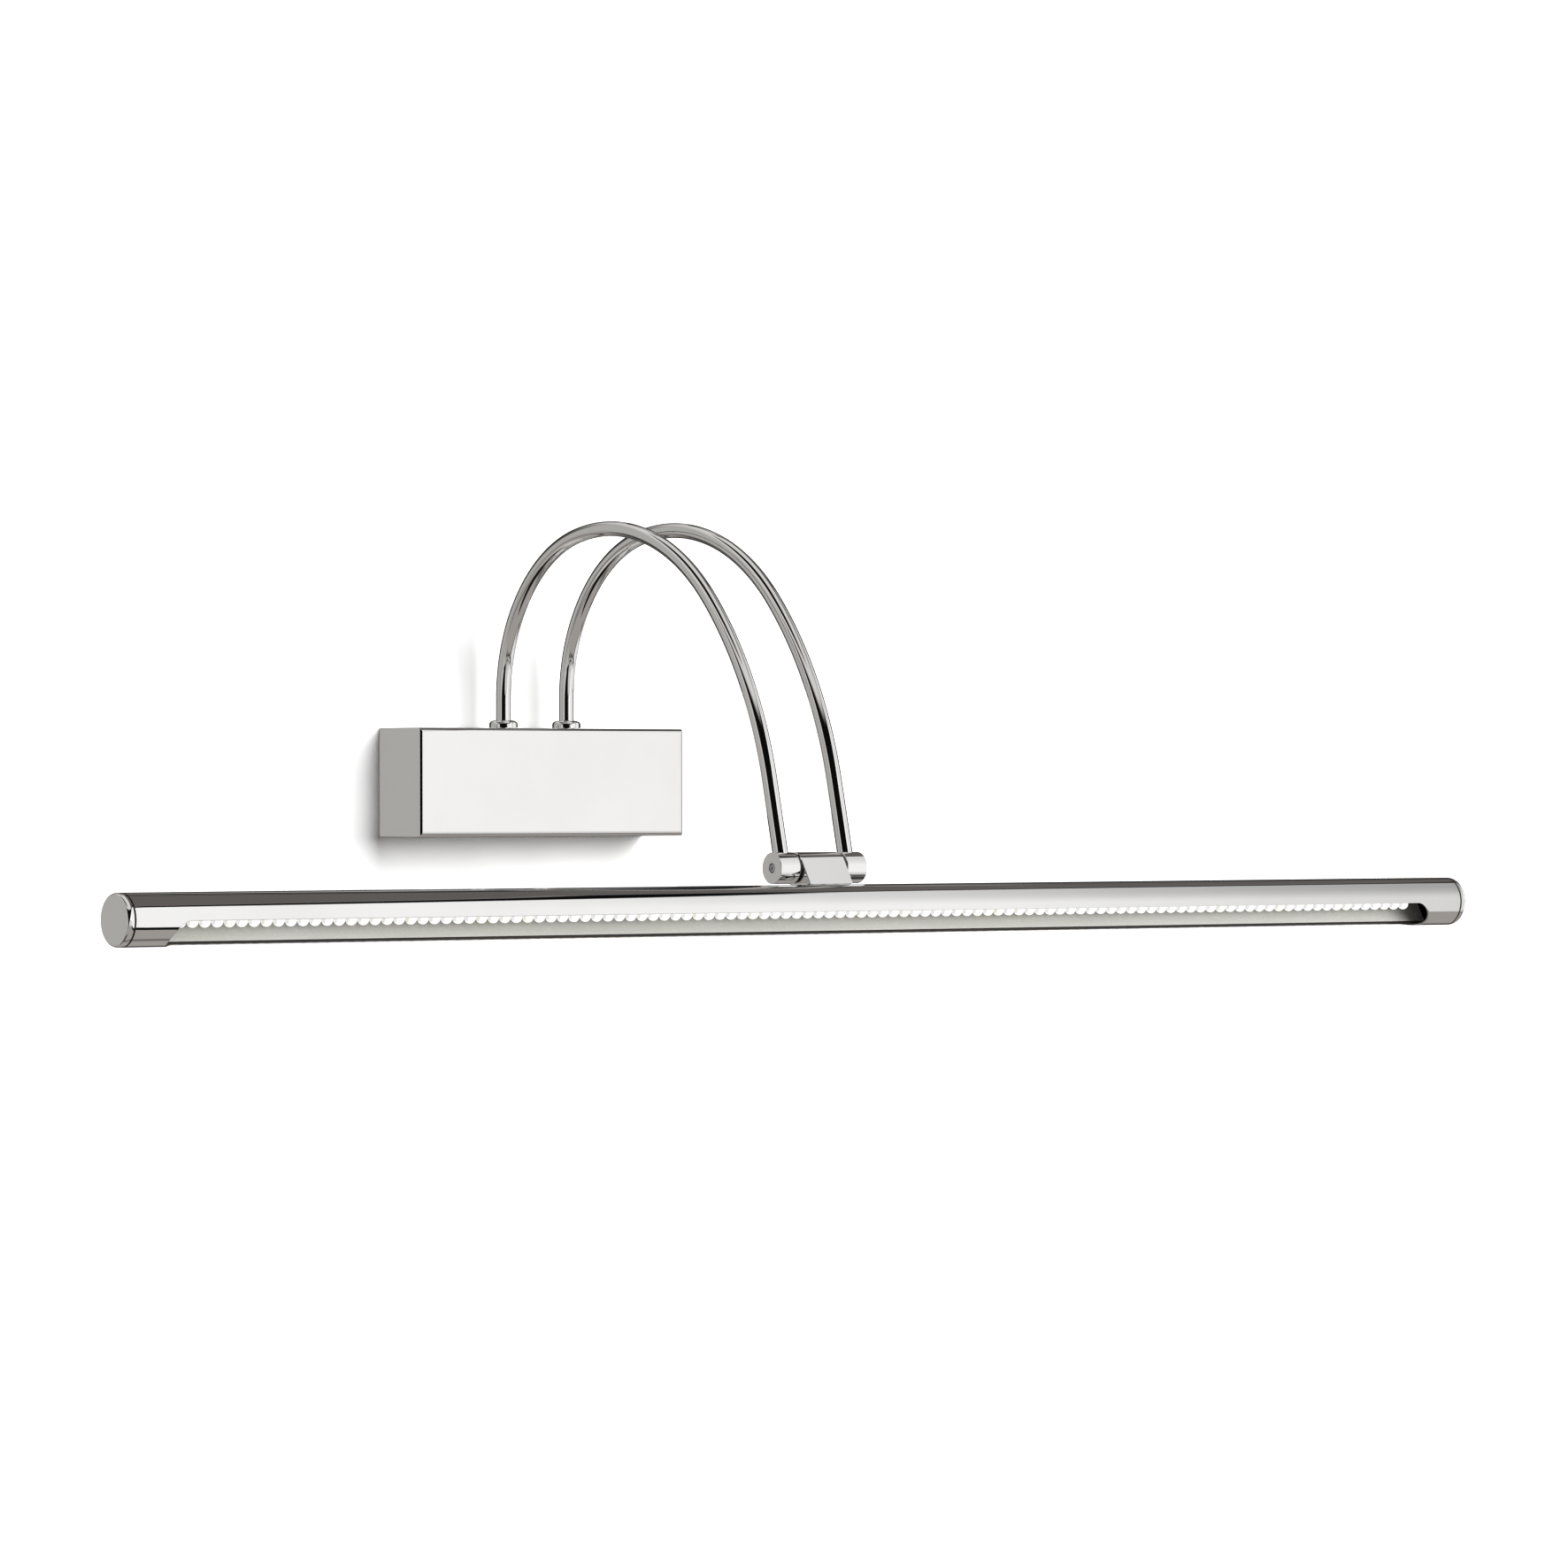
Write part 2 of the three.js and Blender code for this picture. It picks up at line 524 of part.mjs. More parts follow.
// The chromed tube with its long round-ended light slot and the three holes under the hinge block.
function lampTube() {
  const { radius, halfLength } = TUBE;
  const outline = new THREE.Shape();
  const endCentre = SLOT.halfLength - SLOT.width / 2;
  outline.absarc(endCentre, 0, SLOT.width / 2, -Math.PI / 2, Math.PI / 2);
  outline.absarc(-endCentre, 0, SLOT.width / 2, Math.PI / 2, 1.5 * Math.PI);
  const cutter = new THREE.ExtrudeGeometry(outline, { depth: radius + PAST, bevelEnabled: false });
  cutter.translate(0, 0, AXIS_Z - radius - PAST);
  return bar('x', radius, -halfLength, halfLength, TUBE_CENTRE, SIDES_LARGE)
    .subtract(bar('x', TUBE_BORE, -halfLength - PAST, halfLength + PAST, TUBE_CENTRE, SIDES_LARGE))
    .subtract(solid(cutter))
    .subtract(upwardHole(-BLOCK_SCREW_X, 0, BLOCK_SCREW.shank + GAP))
    .subtract(upwardHole(0, 0, LEAD_HOLE))
    .subtract(upwardHole(BLOCK_SCREW_X, 0, BLOCK_SCREW.shank + GAP));
}

// An end cap: a rounded disc, a spigot in the tube and a tongue that the tray is screwed to.
function endCap(side) {
  const seat = TUBE.halfLength + GAP;
  const face = seat + CAP.flange;
  const spigotEnd = TUBE.halfLength - CAP.spigot;
  const underside = AXIS_Z + TRAY.baseTop + GAP;
  const [from, to] = [side * TONGUE.end, side * (spigotEnd + PAST)].sort((a, b) => a - b);
  const tongueTop = underside + TONGUE.thickness;
  return chamferedBar(TUBE.radius, side * seat, side * face, CAP.rounding, TUBE_CENTRE, SIDES_LARGE)
    .add(bar('x', TUBE_BORE - GAP, side * spigotEnd, side * (seat + PAST), TUBE_CENTRE, SIDES_LARGE))
    .add(block(from, to, -TONGUE.halfWidth, TONGUE.halfWidth, underside, tongueTop))
    .subtract(upwardHole(side * TRAY_SCREW_X, 0, TRAY_SCREW.shank + GAP));
}

// The tray: an inverted channel whose outside follows the tube's bore and whose rims end above the
// slot's lips.
function ledTray() {
  const outer = TUBE_BORE - GAP;
  const { halfLength, innerHalfWidth, baseTop, baseBottom, rim } = TRAY;
  const [topAngle, rimAngle] = [Math.asin(baseTop / outer), Math.asin(rim / outer)];
  const section = new THREE.Shape();
  section.moveTo(innerHalfWidth, rim);
  section.absarc(0, 0, outer, rimAngle, topAngle);
  section.absarc(0, 0, outer, Math.PI - topAngle, Math.PI - rimAngle);
  section.lineTo(-innerHalfWidth, rim);
  section.lineTo(-innerHalfWidth, baseBottom);
  section.lineTo(innerHalfWidth, baseBottom);
  const channel = slab(section, halfLength, 10);
  channel.translate(...TUBE_CENTRE);
  let tray = solid(channel).subtract(upwardHole(0, 0, LEAD_HOLE));
  for (const [side] of SIDE_NAMES) {
    tray = tray.subtract(upwardHole(side * TRAY_SCREW_X, 0, TRAY_SCREW.shank + GAP));
  }
  for (const x of BOARD_SCREWS) {
    tray = tray.subtract(upwardHole(x, BOARD_SCREW_Y, BOARD_SCREW.shank + GAP));
  }
  return tray;
}

// The long circuit board under the tray's base.
function ledBoard() {
  const { halfLength, halfWidth } = BOARD;
  let board = block(-halfLength, halfLength, -halfWidth, halfWidth, BOARD_FACE, BOARD_TOP);
  for (const x of BOARD_SCREWS) {
    board = board.subtract(upwardHole(x, BOARD_SCREW_Y, BOARD_SCREW.shank + GAP));
  }
  return board;
}

// The row of round-nosed LEDs, standing in one common spacer strip.
function ledRow() {
  const { halfLength, halfWidth, thickness } = SPACER;
  const top = BOARD_FACE - GAP;
  const strip = block(-halfLength, halfLength, -halfWidth, halfWidth, top - thickness, top);
  const centre = AXIS_Z + LED.centre;
  const root = top - thickness / 2;
  const nose = centre - LED.radius;
  const shoulder = centre - LED.shoulder;
  const profile = [[0, nose], [LED.radius, shoulder], [LED.radius, root], [0, root]];
  const points = profile.map(([radius, station]) => new THREE.Vector2(radius, station));
  const bodies = Array.from({ length: LED.count }, (_, i) => {
    const x = (i - (LED.count - 1) / 2) * LED.pitch;
    return turned(new THREE.LatheGeometry(points, HEX), 'z', [x, 0, 0]);
  });
  return solid(mergeGeometries(bodies)).add(strip);
}

function buildLamp(group) {
  piece(group, 'hinge_block', hingeBlock(), CHROME);
  piece(group, 'lamp_tube', lampTube(), CHROME);
  piece(group, 'led_tray', ledTray(), PALE_TRAY);
  piece(group, 'led_board', ledBoard(), BOARD_WHITE);
  piece(group, 'led_row', ledRow(), LED_WHITE);
  const leadEnds = [BOARD_TOP + GAP, -AXLE.radius - 2 * GAP];
  piece(group, 'lamp_lead', bar('z', LEAD_RADIUS, ...leadEnds, [0, 0, 0], SIDES_SMALL), PALE_WIRE);
  const tubeCrown = AXIS_Z + TUBE_BORE - GAP / 2;
  const trayBase = AXIS_Z + TRAY.baseBottom;
  const tongueTop = AXIS_Z + TRAY.baseTop + TONGUE.thickness;
  for (const [side, name] of SIDE_NAMES) {
    piece(group, `end_cap_${name}`, endCap(side), CHROME);
    const blockCentre = [side * BLOCK_SCREW_X, 0, 0];
    const blockScrew = panScrew('z', BLOCK_SCREW, blockCentre, tubeCrown, -2 * AXLE.radius);
    piece(group, `block_screw_${name}`, blockScrew, ZINC_STEEL);
    const trayScrew = panScrew('z', TRAY_SCREW, [side * TRAY_SCREW_X, 0, 0], trayBase, tongueTop);
    piece(group, `tray_screw_${name}`, trayScrew, ZINC_STEEL);
  }
  BOARD_SCREWS.forEach((x, i) => {
    const screw = panScrew('z', BOARD_SCREW, [x, BOARD_SCREW_Y, 0], BOARD_FACE, BOARD_TOP + PAST);
    piece(group, `board_screw_${i + 1}`, screw, ZINC_STEEL);
  });
}

// ---- assembly ----

const pictureLight = new THREE.Group();
buildWallBox(pictureLight);
buildArms(pictureLight);

const hinge = new THREE.Group();
hinge.position.copy(HINGE);
buildHinge(hinge);
pictureLight.add(hinge);

const lamp = new THREE.Group();
lamp.position.copy(HINGE);
lamp.rotation.x = -radians(LAMP_TILT);
buildLamp(lamp);
pictureLight.add(lamp);

export default pictureLight;
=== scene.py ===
"""The looks of a chrome picture light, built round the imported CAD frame.

Metres, +Z up. The wall is the plane y = 0, the lamp runs along X and stands out towards -Y.
"""

import json
import math

import bmesh
import bpy
from mathutils import Matrix, Vector


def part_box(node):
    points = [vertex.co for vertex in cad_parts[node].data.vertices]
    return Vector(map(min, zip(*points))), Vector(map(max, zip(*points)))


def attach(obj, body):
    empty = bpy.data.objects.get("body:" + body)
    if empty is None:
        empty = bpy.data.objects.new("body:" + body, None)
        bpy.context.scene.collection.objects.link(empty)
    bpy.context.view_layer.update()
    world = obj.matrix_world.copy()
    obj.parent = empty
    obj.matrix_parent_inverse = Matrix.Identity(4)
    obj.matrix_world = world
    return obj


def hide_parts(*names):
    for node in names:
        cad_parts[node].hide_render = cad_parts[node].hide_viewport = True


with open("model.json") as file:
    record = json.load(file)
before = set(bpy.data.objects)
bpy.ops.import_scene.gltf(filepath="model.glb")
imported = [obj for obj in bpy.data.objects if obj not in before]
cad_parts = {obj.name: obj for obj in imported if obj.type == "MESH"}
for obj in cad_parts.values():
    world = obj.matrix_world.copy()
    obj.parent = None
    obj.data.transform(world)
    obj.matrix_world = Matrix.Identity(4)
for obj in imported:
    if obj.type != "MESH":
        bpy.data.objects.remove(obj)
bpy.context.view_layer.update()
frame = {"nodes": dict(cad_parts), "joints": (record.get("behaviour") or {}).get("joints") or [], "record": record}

MM = 0.001

# ---- where the frame puts things ----

HINGE = Vector(frame["joints"][0]["pos_m"])


def middle(node):
    """The centre of a CAD node's box."""
    low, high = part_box(node)
    return (low + high) / 2


def size(node):
    """The size of a CAD node's box."""
    low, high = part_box(node)
    return high - low


CAP_MIDDLE = middle("end_cap_left")
LAMP_DROP = math.hypot(CAP_MIDDLE.y - HINGE.y, CAP_MIDDLE.z - HINGE.z)
LAMP_TILT = math.atan2(HINGE.y - CAP_MIDDLE.y, HINGE.z - CAP_MIDDLE.z)

# The lamp's own frame: its origin is on the hinge axis, and the light shines along its -Z.
LAMP_FRAME = Matrix.Translation(HINGE) @ Matrix.Rotation(-LAMP_TILT, 4, "X")
TUBE_FRAME = LAMP_FRAME @ Matrix.Translation((0, 0, -LAMP_DROP))

# ---- sizes of the fine pieces ----

GAP = 0.3 * MM
EDGE = 0.35 * MM              # how far an eased edge is set back
ROUND = 96                    # sides of a large round piece
ROUND_SMALL = 40              # sides of a small one

ARM_RADIUS = 3.5 * MM
ARM_BORE = 2.5 * MM
ARM_FOOT = 17 * MM            # height of the arm's lower end, inside the box
ARM_RISE = 39 * MM            # height at which the straight rise ends
ARM_BENDS = [(76 * MM, 78), (108 * MM, 58), (180 * MM, 30.5)]   # radius and angle, from the back
ARM_TRIM = 3.9 * MM           # from the hinge axis to the arm's end

COLLAR_RIM = 0.45             # the upright rim's part of the collar's height
COLLAR_CROWN = 0.58           # the flat top's radius as a part of the collar's
COLLAR_STEPS = 8

TUBE_RADIUS = 11.25 * MM
TUBE_HALF = size("lamp_tube").x / 2
TUBE_WALL = 1 * MM
SLOT_HALF_WIDTH = 8.6 * MM
SLOT_HALF_LENGTH = 348 * MM
SLOT_EDGE = 0.5 * MM          # how far the slot's rounded lip reaches over the tube
LIP_SINK = 0.35 * MM          # how deep the lip goes before the bare cut face
TUBE_END_EDGE = 0.3 * MM
CAP_EDGE = 0.9 * MM           # how much smaller than the tube the cap's flat face is
CAP_EASE = 2.2 * MM           # how far back the cap's rounded edge goes
CAP_SPIGOT = 6 * MM           # how deep the cap's plug goes into the tube
TONGUE_START = 340 * MM       # from the lamp's middle to the tongue's inner end
TONGUE_HALF_WIDTH = 4 * MM
TONGUE_LOW = 7.1 * MM         # above the tube's axis
TONGUE_HIGH = 8.9 * MM
END_STEPS = 4
CAP_STEPS = 10
LIP_STEPS = 4

BARREL_RADIUS = 7 * MM
BARREL_HALF = 24 * MM
BLOCK_HALF = 12 * MM
WASHER = 0.5 * MM
AXLE_RADIUS = 3 * MM
NECK_TAPER = math.radians(5)
SCREW_RADIUS = 1.75 * MM
SCREW_SHANK = 1.3 * MM
SCREW_HEAD = 2 * MM           # the head's height
SCREW_RECESS = 0.3 * MM
SCREW_SOCKET = 0.5 * MM       # the hexagon socket's depth
SOCKET_RADIUS = 1.05 * MM
SCREW_TIP = 16 * MM
SADDLE_STEPS = 20
BARREL_STEPS = 48

BOX_RADIUS = 2.4 * MM         # round the front
BOX_CORNER = 0.5 * MM         # along the sides, from the front to the wall
FINE_CORNER = 0.1 * MM
BOX_STEPS = 8
CORNER_STEPS = 3
BOX_WALL = 1.2 * MM

LED_COUNT = 114
LED_PITCH = 6 * MM
LED_RADIUS = 2.5 * MM
LED_CENTRE = -1.3 * MM        # the dome's centre, above the tube's axis
LED_RIM = 2.85 * MM
SPACER_TOP = 3.6 * MM
SPACER_THICKNESS = 1 * MM
SPACER_HALF_WIDTH = 3 * MM
SPACER_MARGIN = 2.8 * MM      # past the last LED's centre
DOME_STEPS = 7
LED_SIDES = 20
BOARD_FACE = 3.9 * MM
CHIP_EVERY = 3                # one resistor for each three LEDs
CHIP = (1 * MM, 0.62 * MM, 0.5 * MM)
CHIP_Y = -5.2 * MM

# ---- node helpers ----


class Nodes:
    """Adds shader nodes to a tree. A number or a colour goes straight into a node's socket."""

    def __init__(self, tree):
        self.tree = tree
        tree.nodes.clear()

    def add(self, kind, inputs=None, **settings):
        node = self.tree.nodes.new(kind)
        for key, value in settings.items():
            setattr(node, key, value)
        for key, value in (inputs or {}).items():
            self.put(value, node.inputs[key])
        return node

    def put(self, value, socket):
        if isinstance(value, bpy.types.NodeSocket):
            self.tree.links.new(value, socket)
        else:
            socket.default_value = value

    def math(self, operation, a, b=0.0):
        return self.add("ShaderNodeMath", {0: a, 1: b}, operation=operation).outputs[0]

    def dot(self, vector, direction):
        inputs = {0: vector, 1: direction}
        return self.add("ShaderNodeVectorMath", inputs, operation="DOT_PRODUCT").outputs["Value"]

    def smooth(self, value, low, high, start=0.0, end=1.0):
        """start where value is below low, end where it is above high."""
        inputs = {"Value": value, "From Min": low, "From Max": high, "To Min": start, "To Max": end}
        kind = "ShaderNodeMapRange"
        return self.add(kind, inputs, interpolation_type="SMOOTHSTEP").outputs["Result"]

    def mix(self, factor, a, b):
        node = self.add("ShaderNodeMix", data_type="RGBA")
        for index, value in ((0, factor), (6, a), (7, b)):
            self.put(value, node.inputs[index])
        return node.outputs[2]

    def place(self, scale=(1, 1, 1)):
        """Coordinates that stay with the object, stretched by scale."""
        coordinates = self.add("ShaderNodeTexCoord").outputs["Object"]
        return self.add("ShaderNodeMapping", {"Vector": coordinates, "Scale": scale}).outputs[0]

    def noise(self, vector, scale, detail=3.0, roughness=0.5):
        inputs = {"Vector": vector, "Scale": scale, "Detail": detail, "Roughness": roughness}
        return self.add("ShaderNodeTexNoise", inputs).outputs["Fac"]

    def bump(self, height, strength, distance):
        inputs = {"Height": height, "Strength": strength, "Distance": distance}
        return self.add("ShaderNodeBump", inputs).outputs["Normal"]

    def surface(self, **inputs):
        """A Principled shader on the material's output. Input names have _ for a space."""
        named = {key.replace("_", " "): value for key, value in inputs.items()}
        shader = self.add("ShaderNodeBsdfPrincipled", named)
        output = self.add("ShaderNodeOutputMaterial")
        self.tree.links.new(shader.outputs[0], output.inputs["Surface"])


def new_material(name):
    material = bpy.data.materials.new(name)
    material.use_nodes = True
    return material, Nodes(material.node_tree)


# ---- materials ----


def chrome():
    """Polished plate: faint waviness, fine polishing lines and slightly uneven gloss."""
    material, n = new_material("chrome")
    place = n.place()
    haze = n.noise(place, 18.0, 4.0, 0.55)
    lines = n.noise(n.place((40, 700, 700)), 1.0, 4.0, 0.6)
    wave = n.noise(place, 45.0, 1.0)
    gloss = n.math("ADD", n.smooth(haze, 0.35, 0.75, 0.008, 0.026), n.math("MULTIPLY", lines, 0.012))
    waves = n.bump(wave, 0.02, 0.0004)
    scratches = n.add(
        "ShaderNodeBump",
        {"Height": lines, "Strength": 0.02, "Distance": 0.0001, "Normal": waves},
    ).outputs["Normal"]
    colour = n.mix(n.smooth(haze, 0.3, 0.8), (0.93, 0.925, 0.915, 1), (0.895, 0.885, 0.87, 1))
    n.surface(Base_Color=colour, Metallic=1.0, Roughness=gloss, Normal=scratches)
    return material


def zinc_steel():
    """Zinc plate: pale and darker crystals, with a dull, slightly rough skin."""
    material, n = new_material("zinc_steel")
    place = n.place()
    spangle = n.add("ShaderNodeTexVoronoi", {"Vector": place, "Scale": 320.0}).outputs["Color"]
    grey = n.dot(spangle, (0.33, 0.33, 0.34))
    grain = n.noise(place, 1400.0, 2.0)
    colour = n.mix(grey, (0.50, 0.52, 0.54, 1), (0.70, 0.71, 0.72, 1))
    rough = n.math("ADD", n.math("MULTIPLY", grain, 0.12), n.math("MULTIPLY", grey, 0.16))
    n.surface(
        Base_Color=colour,
        Metallic=1.0,
        Roughness=n.math("ADD", rough, 0.2),
        Normal=n.bump(grain, 0.15, 0.00008),
    )
    return material


def brass():
    """Turned brass, with fine rings of tool marks and a little tarnish."""
    material, n = new_material("brass")
    place = n.place()
    tarnish = n.noise(place, 260.0, 4.0)
    marks = n.noise(n.place((900, 120, 900)), 1.0, 2.0)
    colour = n.mix(tarnish, (0.83, 0.62, 0.27, 1), (0.62, 0.43, 0.17, 1))
    rough = n.smooth(marks, 0.3, 0.7, 0.22, 0.4)
    n.surface(Base_Color=colour, Metallic=1.0, Roughness=rough, Normal=n.bump(marks, 0.2, 0.00005))
    return material


def moulded(name, light, dark, rough, grain_scale=900.0, strength=0.12):
    """Moulded plastic or rubber: a spark-eroded grain and a slightly uneven colour."""
    material, n = new_material(name)
    place = n.place()
    grain = n.noise(place, grain_scale, 3.0, 0.6)
    cloud = n.noise(place, 40.0, 3.0)
    colour = n.mix(cloud, (*light, 1), (*dark, 1))
    gloss = n.smooth(grain, 0.3, 0.7, rough - 0.06, rough + 0.06)
    n.surface(Base_Color=colour, Roughness=gloss, Normal=n.bump(grain, strength, 0.0001))
    return material


def tray():
    """Extruded satin plastic: long die lines, fine grain and a faint green tint."""
    material, n = new_material("tray_plastic")
    grain = n.noise(n.place(), 700.0, 3.0, 0.65)
    dies = n.noise(n.place((6, 900, 900)), 1.0, 3.0)
    stain = n.noise(n.place((25, 160, 160)), 1.0, 4.0)
    tone = n.mix(stain, (0.66, 0.655, 0.625, 1), (0.52, 0.52, 0.475, 1))
    colour = n.mix(n.smooth(grain, 0.45, 0.8, 0.0, 0.35), tone, (0.78, 0.775, 0.74, 1))
    height = n.math("ADD", n.math("MULTIPLY", dies, 0.6), n.math("MULTIPLY", grain, 0.5))
    rough = n.smooth(dies, 0.3, 0.7, 0.42, 0.58)
    n.surface(Base_Color=colour, Roughness=rough, Normal=n.bump(height, 0.25, 0.00012))
    return material


def board():
    """White solder mask over copper: raised tracks along the board and a fine grain."""
    material, n = new_material("board_white")
    place = n.place()
    grain = n.noise(place, 1200.0, 2.0)
    tracks = n.add(
        "ShaderNodeTexWave",
        {"Vector": n.place((60, 900, 900)), "Scale": 0.6, "Distortion": 1.5, "Detail": 1.0},
        wave_type="BANDS",
    ).outputs["Fac"]
    raised = n.smooth(tracks, 0.55, 0.7)
    colour = n.mix(raised, (0.80, 0.81, 0.76, 1), (0.70, 0.72, 0.66, 1))
    height = n.math("ADD", raised, n.math("MULTIPLY", grain, 0.2))
    rough = n.smooth(grain, 0.3, 0.7, 0.3, 0.42)
    n.surface(Base_Color=colour, Roughness=rough, Normal=n.bump(height, 0.3, 0.00006))
    return material


def led_white():
    """Lit resin: each lens glows round its middle, and its flanks towards its neighbours and its foot
    are dimmer. Each LED has its own slight tint."""
    material, n = new_material("led_white")
    place = n.place()
    count = n.math("DIVIDE", n.dot(place, (1, 0, 0)), LED_PITCH)
    step = n.math("FLOOR", count)
    tint = n.add("ShaderNodeTexWhiteNoise", {"W": step}, noise_dimensions="1D").outputs["Value"]
    bloom = n.noise(place, 500.0, 2.0)
    light = n.mix(n.smooth(tint, 0.6, 1.0), (1.0, 1.0, 1.0, 1), (1.0, 0.97, 0.86, 1))
    resin = n.mix(bloom, (0.42, 0.42, 0.40, 1), (0.34, 0.34, 0.32, 1))
    off_middle = n.math("ABSOLUTE", n.math("SUBTRACT", n.math("FRACT", count), 0.5))
    sideways = n.math("MULTIPLY", off_middle, LED_PITCH)
    lamp_up = TUBE_FRAME.to_3x3() @ Vector((0, 0, 1))
    lens = TUBE_FRAME @ Vector((0, 0, LED_CENTRE))
    above = n.math("SUBTRACT", n.dot(place, tuple(lamp_up)), lens.dot(lamp_up))
    above = n.math("MAXIMUM", above, 0.0)
    squared = n.math("ADD", n.math("MULTIPLY", sideways, sideways), n.math("MULTIPLY", above, above))
    distance = n.math("SQRT", squared)
    lit = n.smooth(distance, LED_RADIUS * 0.68, LED_RADIUS * 0.84, 1.0, 0.6)
    strength = n.math("MULTIPLY", lit, n.smooth(bloom, 0.25, 0.75, 0.95, 1.15))
    n.surface(
        Base_Color=resin,
        Roughness=n.smooth(bloom, 0.3, 0.7, 0.12, 0.2),
        Emission_Color=light,
        Emission_Strength=strength,
    )
    return material


def painted_seam_shade():
    """Near-black painted shade for the bores, cut faces and seams of the chrome pieces, with a mottle like mill
    scale.
    """
    material, n = new_material("painted_seam_shade")
    scale = n.noise(n.place((60, 500, 500)), 1.0, 4.0)
    # The near-black colour stands in for the shade in bores, cut faces and seams: painted shade, not the steel's
    # own tone.
    colour = n.mix(scale, (0.018, 0.017, 0.016, 1), (0.05, 0.046, 0.042, 1))
    n.surface(
        Base_Color=colour,
        Metallic=0.3,
        Roughness=n.smooth(scale, 0.3, 0.7, 0.5, 0.65),
        Normal=n.bump(scale, 0.2, 0.00008),
    )
    return material


LOOKS = {
    "chrome": chrome(),
    "zinc_steel": zinc_steel(),
    "brass": brass(),
    "driver_plastic": moulded("driver_plastic", (0.82, 0.82, 0.78), (0.76, 0.76, 0.71), 0.45),
    "tray_plastic": tray(),
    "board_white": board(),
    "led_white": led_white(),
    "rubber": moulded("rubber", (0.022, 0.022, 0.023), (0.04, 0.04, 0.042), 0.7, 1600.0, 0.3),
    "fibre": moulded("fibre", (0.035, 0.034, 0.033), (0.07, 0.066, 0.06), 0.6, 2200.0, 0.4),
    "wire_brown": moulded("wire_brown", (0.15, 0.055, 0.02), (0.11, 0.04, 0.016), 0.4, 1200.0, 0.05),
    "wire_blue": moulded("wire_blue", (0.03, 0.09, 0.30), (0.022, 0.07, 0.24), 0.4, 1200.0, 0.05),
    "wire_clear": moulded("wire_clear", (0.62, 0.62, 0.58), (0.54, 0.54, 0.5), 0.3, 1200.0, 0.05),
}
# Near-black painted shade for the seams, bores and cut faces of the chrome pieces.
PAINTED_SEAM_SHADE = painted_seam_shade()
for part in frame["record"]["subparts"]:
    mesh = frame["nodes"][part["node"]].data
    mesh.materials.clear()
    mesh.materials.append(LOOKS[part["material_slot"]])

# ---- mesh helpers ----


def eased(points, setback=EDGE, steps=5, closed=True):
    """An outline with each corner replaced by a short curve that starts setback before it."""
    result = []
    count = len(points)
    for i, point in enumerate(points):
        if not closed and i in (0, count - 1):
            result.append(tuple(point))
            continue
        corner = Vector(point)
        before = Vector(points[i - 1]) - corner
        after = Vector(points[(i + 1) % count]) - corner
        reach = min(setback, before.length * 0.45, after.length * 0.45)
        start = corner + before.normalized() * reach
        end = corner + after.normalized() * reach
        for k in range(steps + 1):
            t = k / steps
            result.append(tuple(start * (1 - t) ** 2 + corner * 2 * t * (1 - t) + end * t**2))
    return result


def revolve(bm, profile, segments=ROUND, closed=False):
    """Turns a profile of (radius, station) about X. A closed profile makes a ring."""
    rings = []
    for radius, station in profile:
        if radius < 1e-7:
            rings.append([bm.verts.new((station, 0, 0))] * segments)
            continue
        angles = [2 * math.pi * i / segments for i in range(segments)]
        ring = [(station, radius * math.cos(a), radius * math.sin(a)) for a in angles]
        rings.append([bm.verts.new(point) for point in ring])
    pairs = list(zip(rings, rings[1:]))
    if closed:
        pairs.append((rings[-1], rings[0]))
    for first, second in pairs:
        for i in range(segments):
            j = (i + 1) % segments
            corners = [first[i], first[j], second[j], second[i]]
            add_face(bm, corners)


def add_face(bm, corners):
    """A face between corners, where neighbours that are the same vertex count once."""
    kept = [v for i, v in enumerate(corners) if v is not corners[i - 1]]
    if len(kept) > 2:
        bm.faces.new(kept)


def extrude_x(bm, outline, half):
    """A solid whose (y, z) outline runs from -half to half along X, with eased end edges."""
    inset = EDGE * 0.8
    middle_point = sum((Vector(p) for p in outline), Vector((0, 0))) / len(outline)
    rings = []
    for x, pull in ((-half, inset), (-half + inset, 0), (half - inset, 0), (half, inset)):
        ring = []
        for i, point in enumerate(outline):
            along = Vector(outline[(i + 1) % len(outline)]) - Vector(outline[i - 1])
            inward = Vector((-along.y, along.x)).normalized()
            if inward.dot(middle_point - Vector(point)) < 0:
                inward = -inward
            y, z = Vector(point) + inward * pull
            ring.append(bm.verts.new((x, y, z)))
        rings.append(ring)
    count = len(outline)
    for first, second in zip(rings, rings[1:]):
        for i in range(count):
            j = (i + 1) % count
            bm.faces.new([first[i], first[j], second[j], second[i]])
    bm.faces.new(list(reversed(rings[0])))
    bm.faces.new(rings[-1])


def box_solid(bm, low, high):
    """A plain block, used as a cutter or as the start of a bevelled piece."""
    made = bmesh.ops.create_cube(bm, size=1)
    low, high = Vector(low), Vector(high)
    scale = Matrix.Diagonal((*(high - low), 1))
    bmesh.ops.transform(bm, matrix=Matrix.Translation((low + high) / 2) @ scale, verts=made["verts"])


def to_object(bm, name, placed=Matrix.Identity(4)):
    """The bmesh as an object, moved by placed, with its faces turned outwards. The bmesh is freed."""
    bmesh.ops.transform(bm, matrix=placed, verts=bm.verts)
    bmesh.ops.recalc_face_normals(bm, faces=bm.faces)
    mesh = bpy.data.meshes.new(name)
    bm.to_mesh(mesh)
    bm.free()
    thing = bpy.data.objects.new(name, mesh)
    bpy.context.scene.collection.objects.link(thing)
    return thing


def apply_modifiers(thing):
    """Replaces the object's mesh by what its modifiers make of it."""
    graph = bpy.context.evaluated_depsgraph_get()
    made = bpy.data.meshes.new_from_object(thing.evaluated_get(graph))
    thing.modifiers.clear()
    thing.data = made


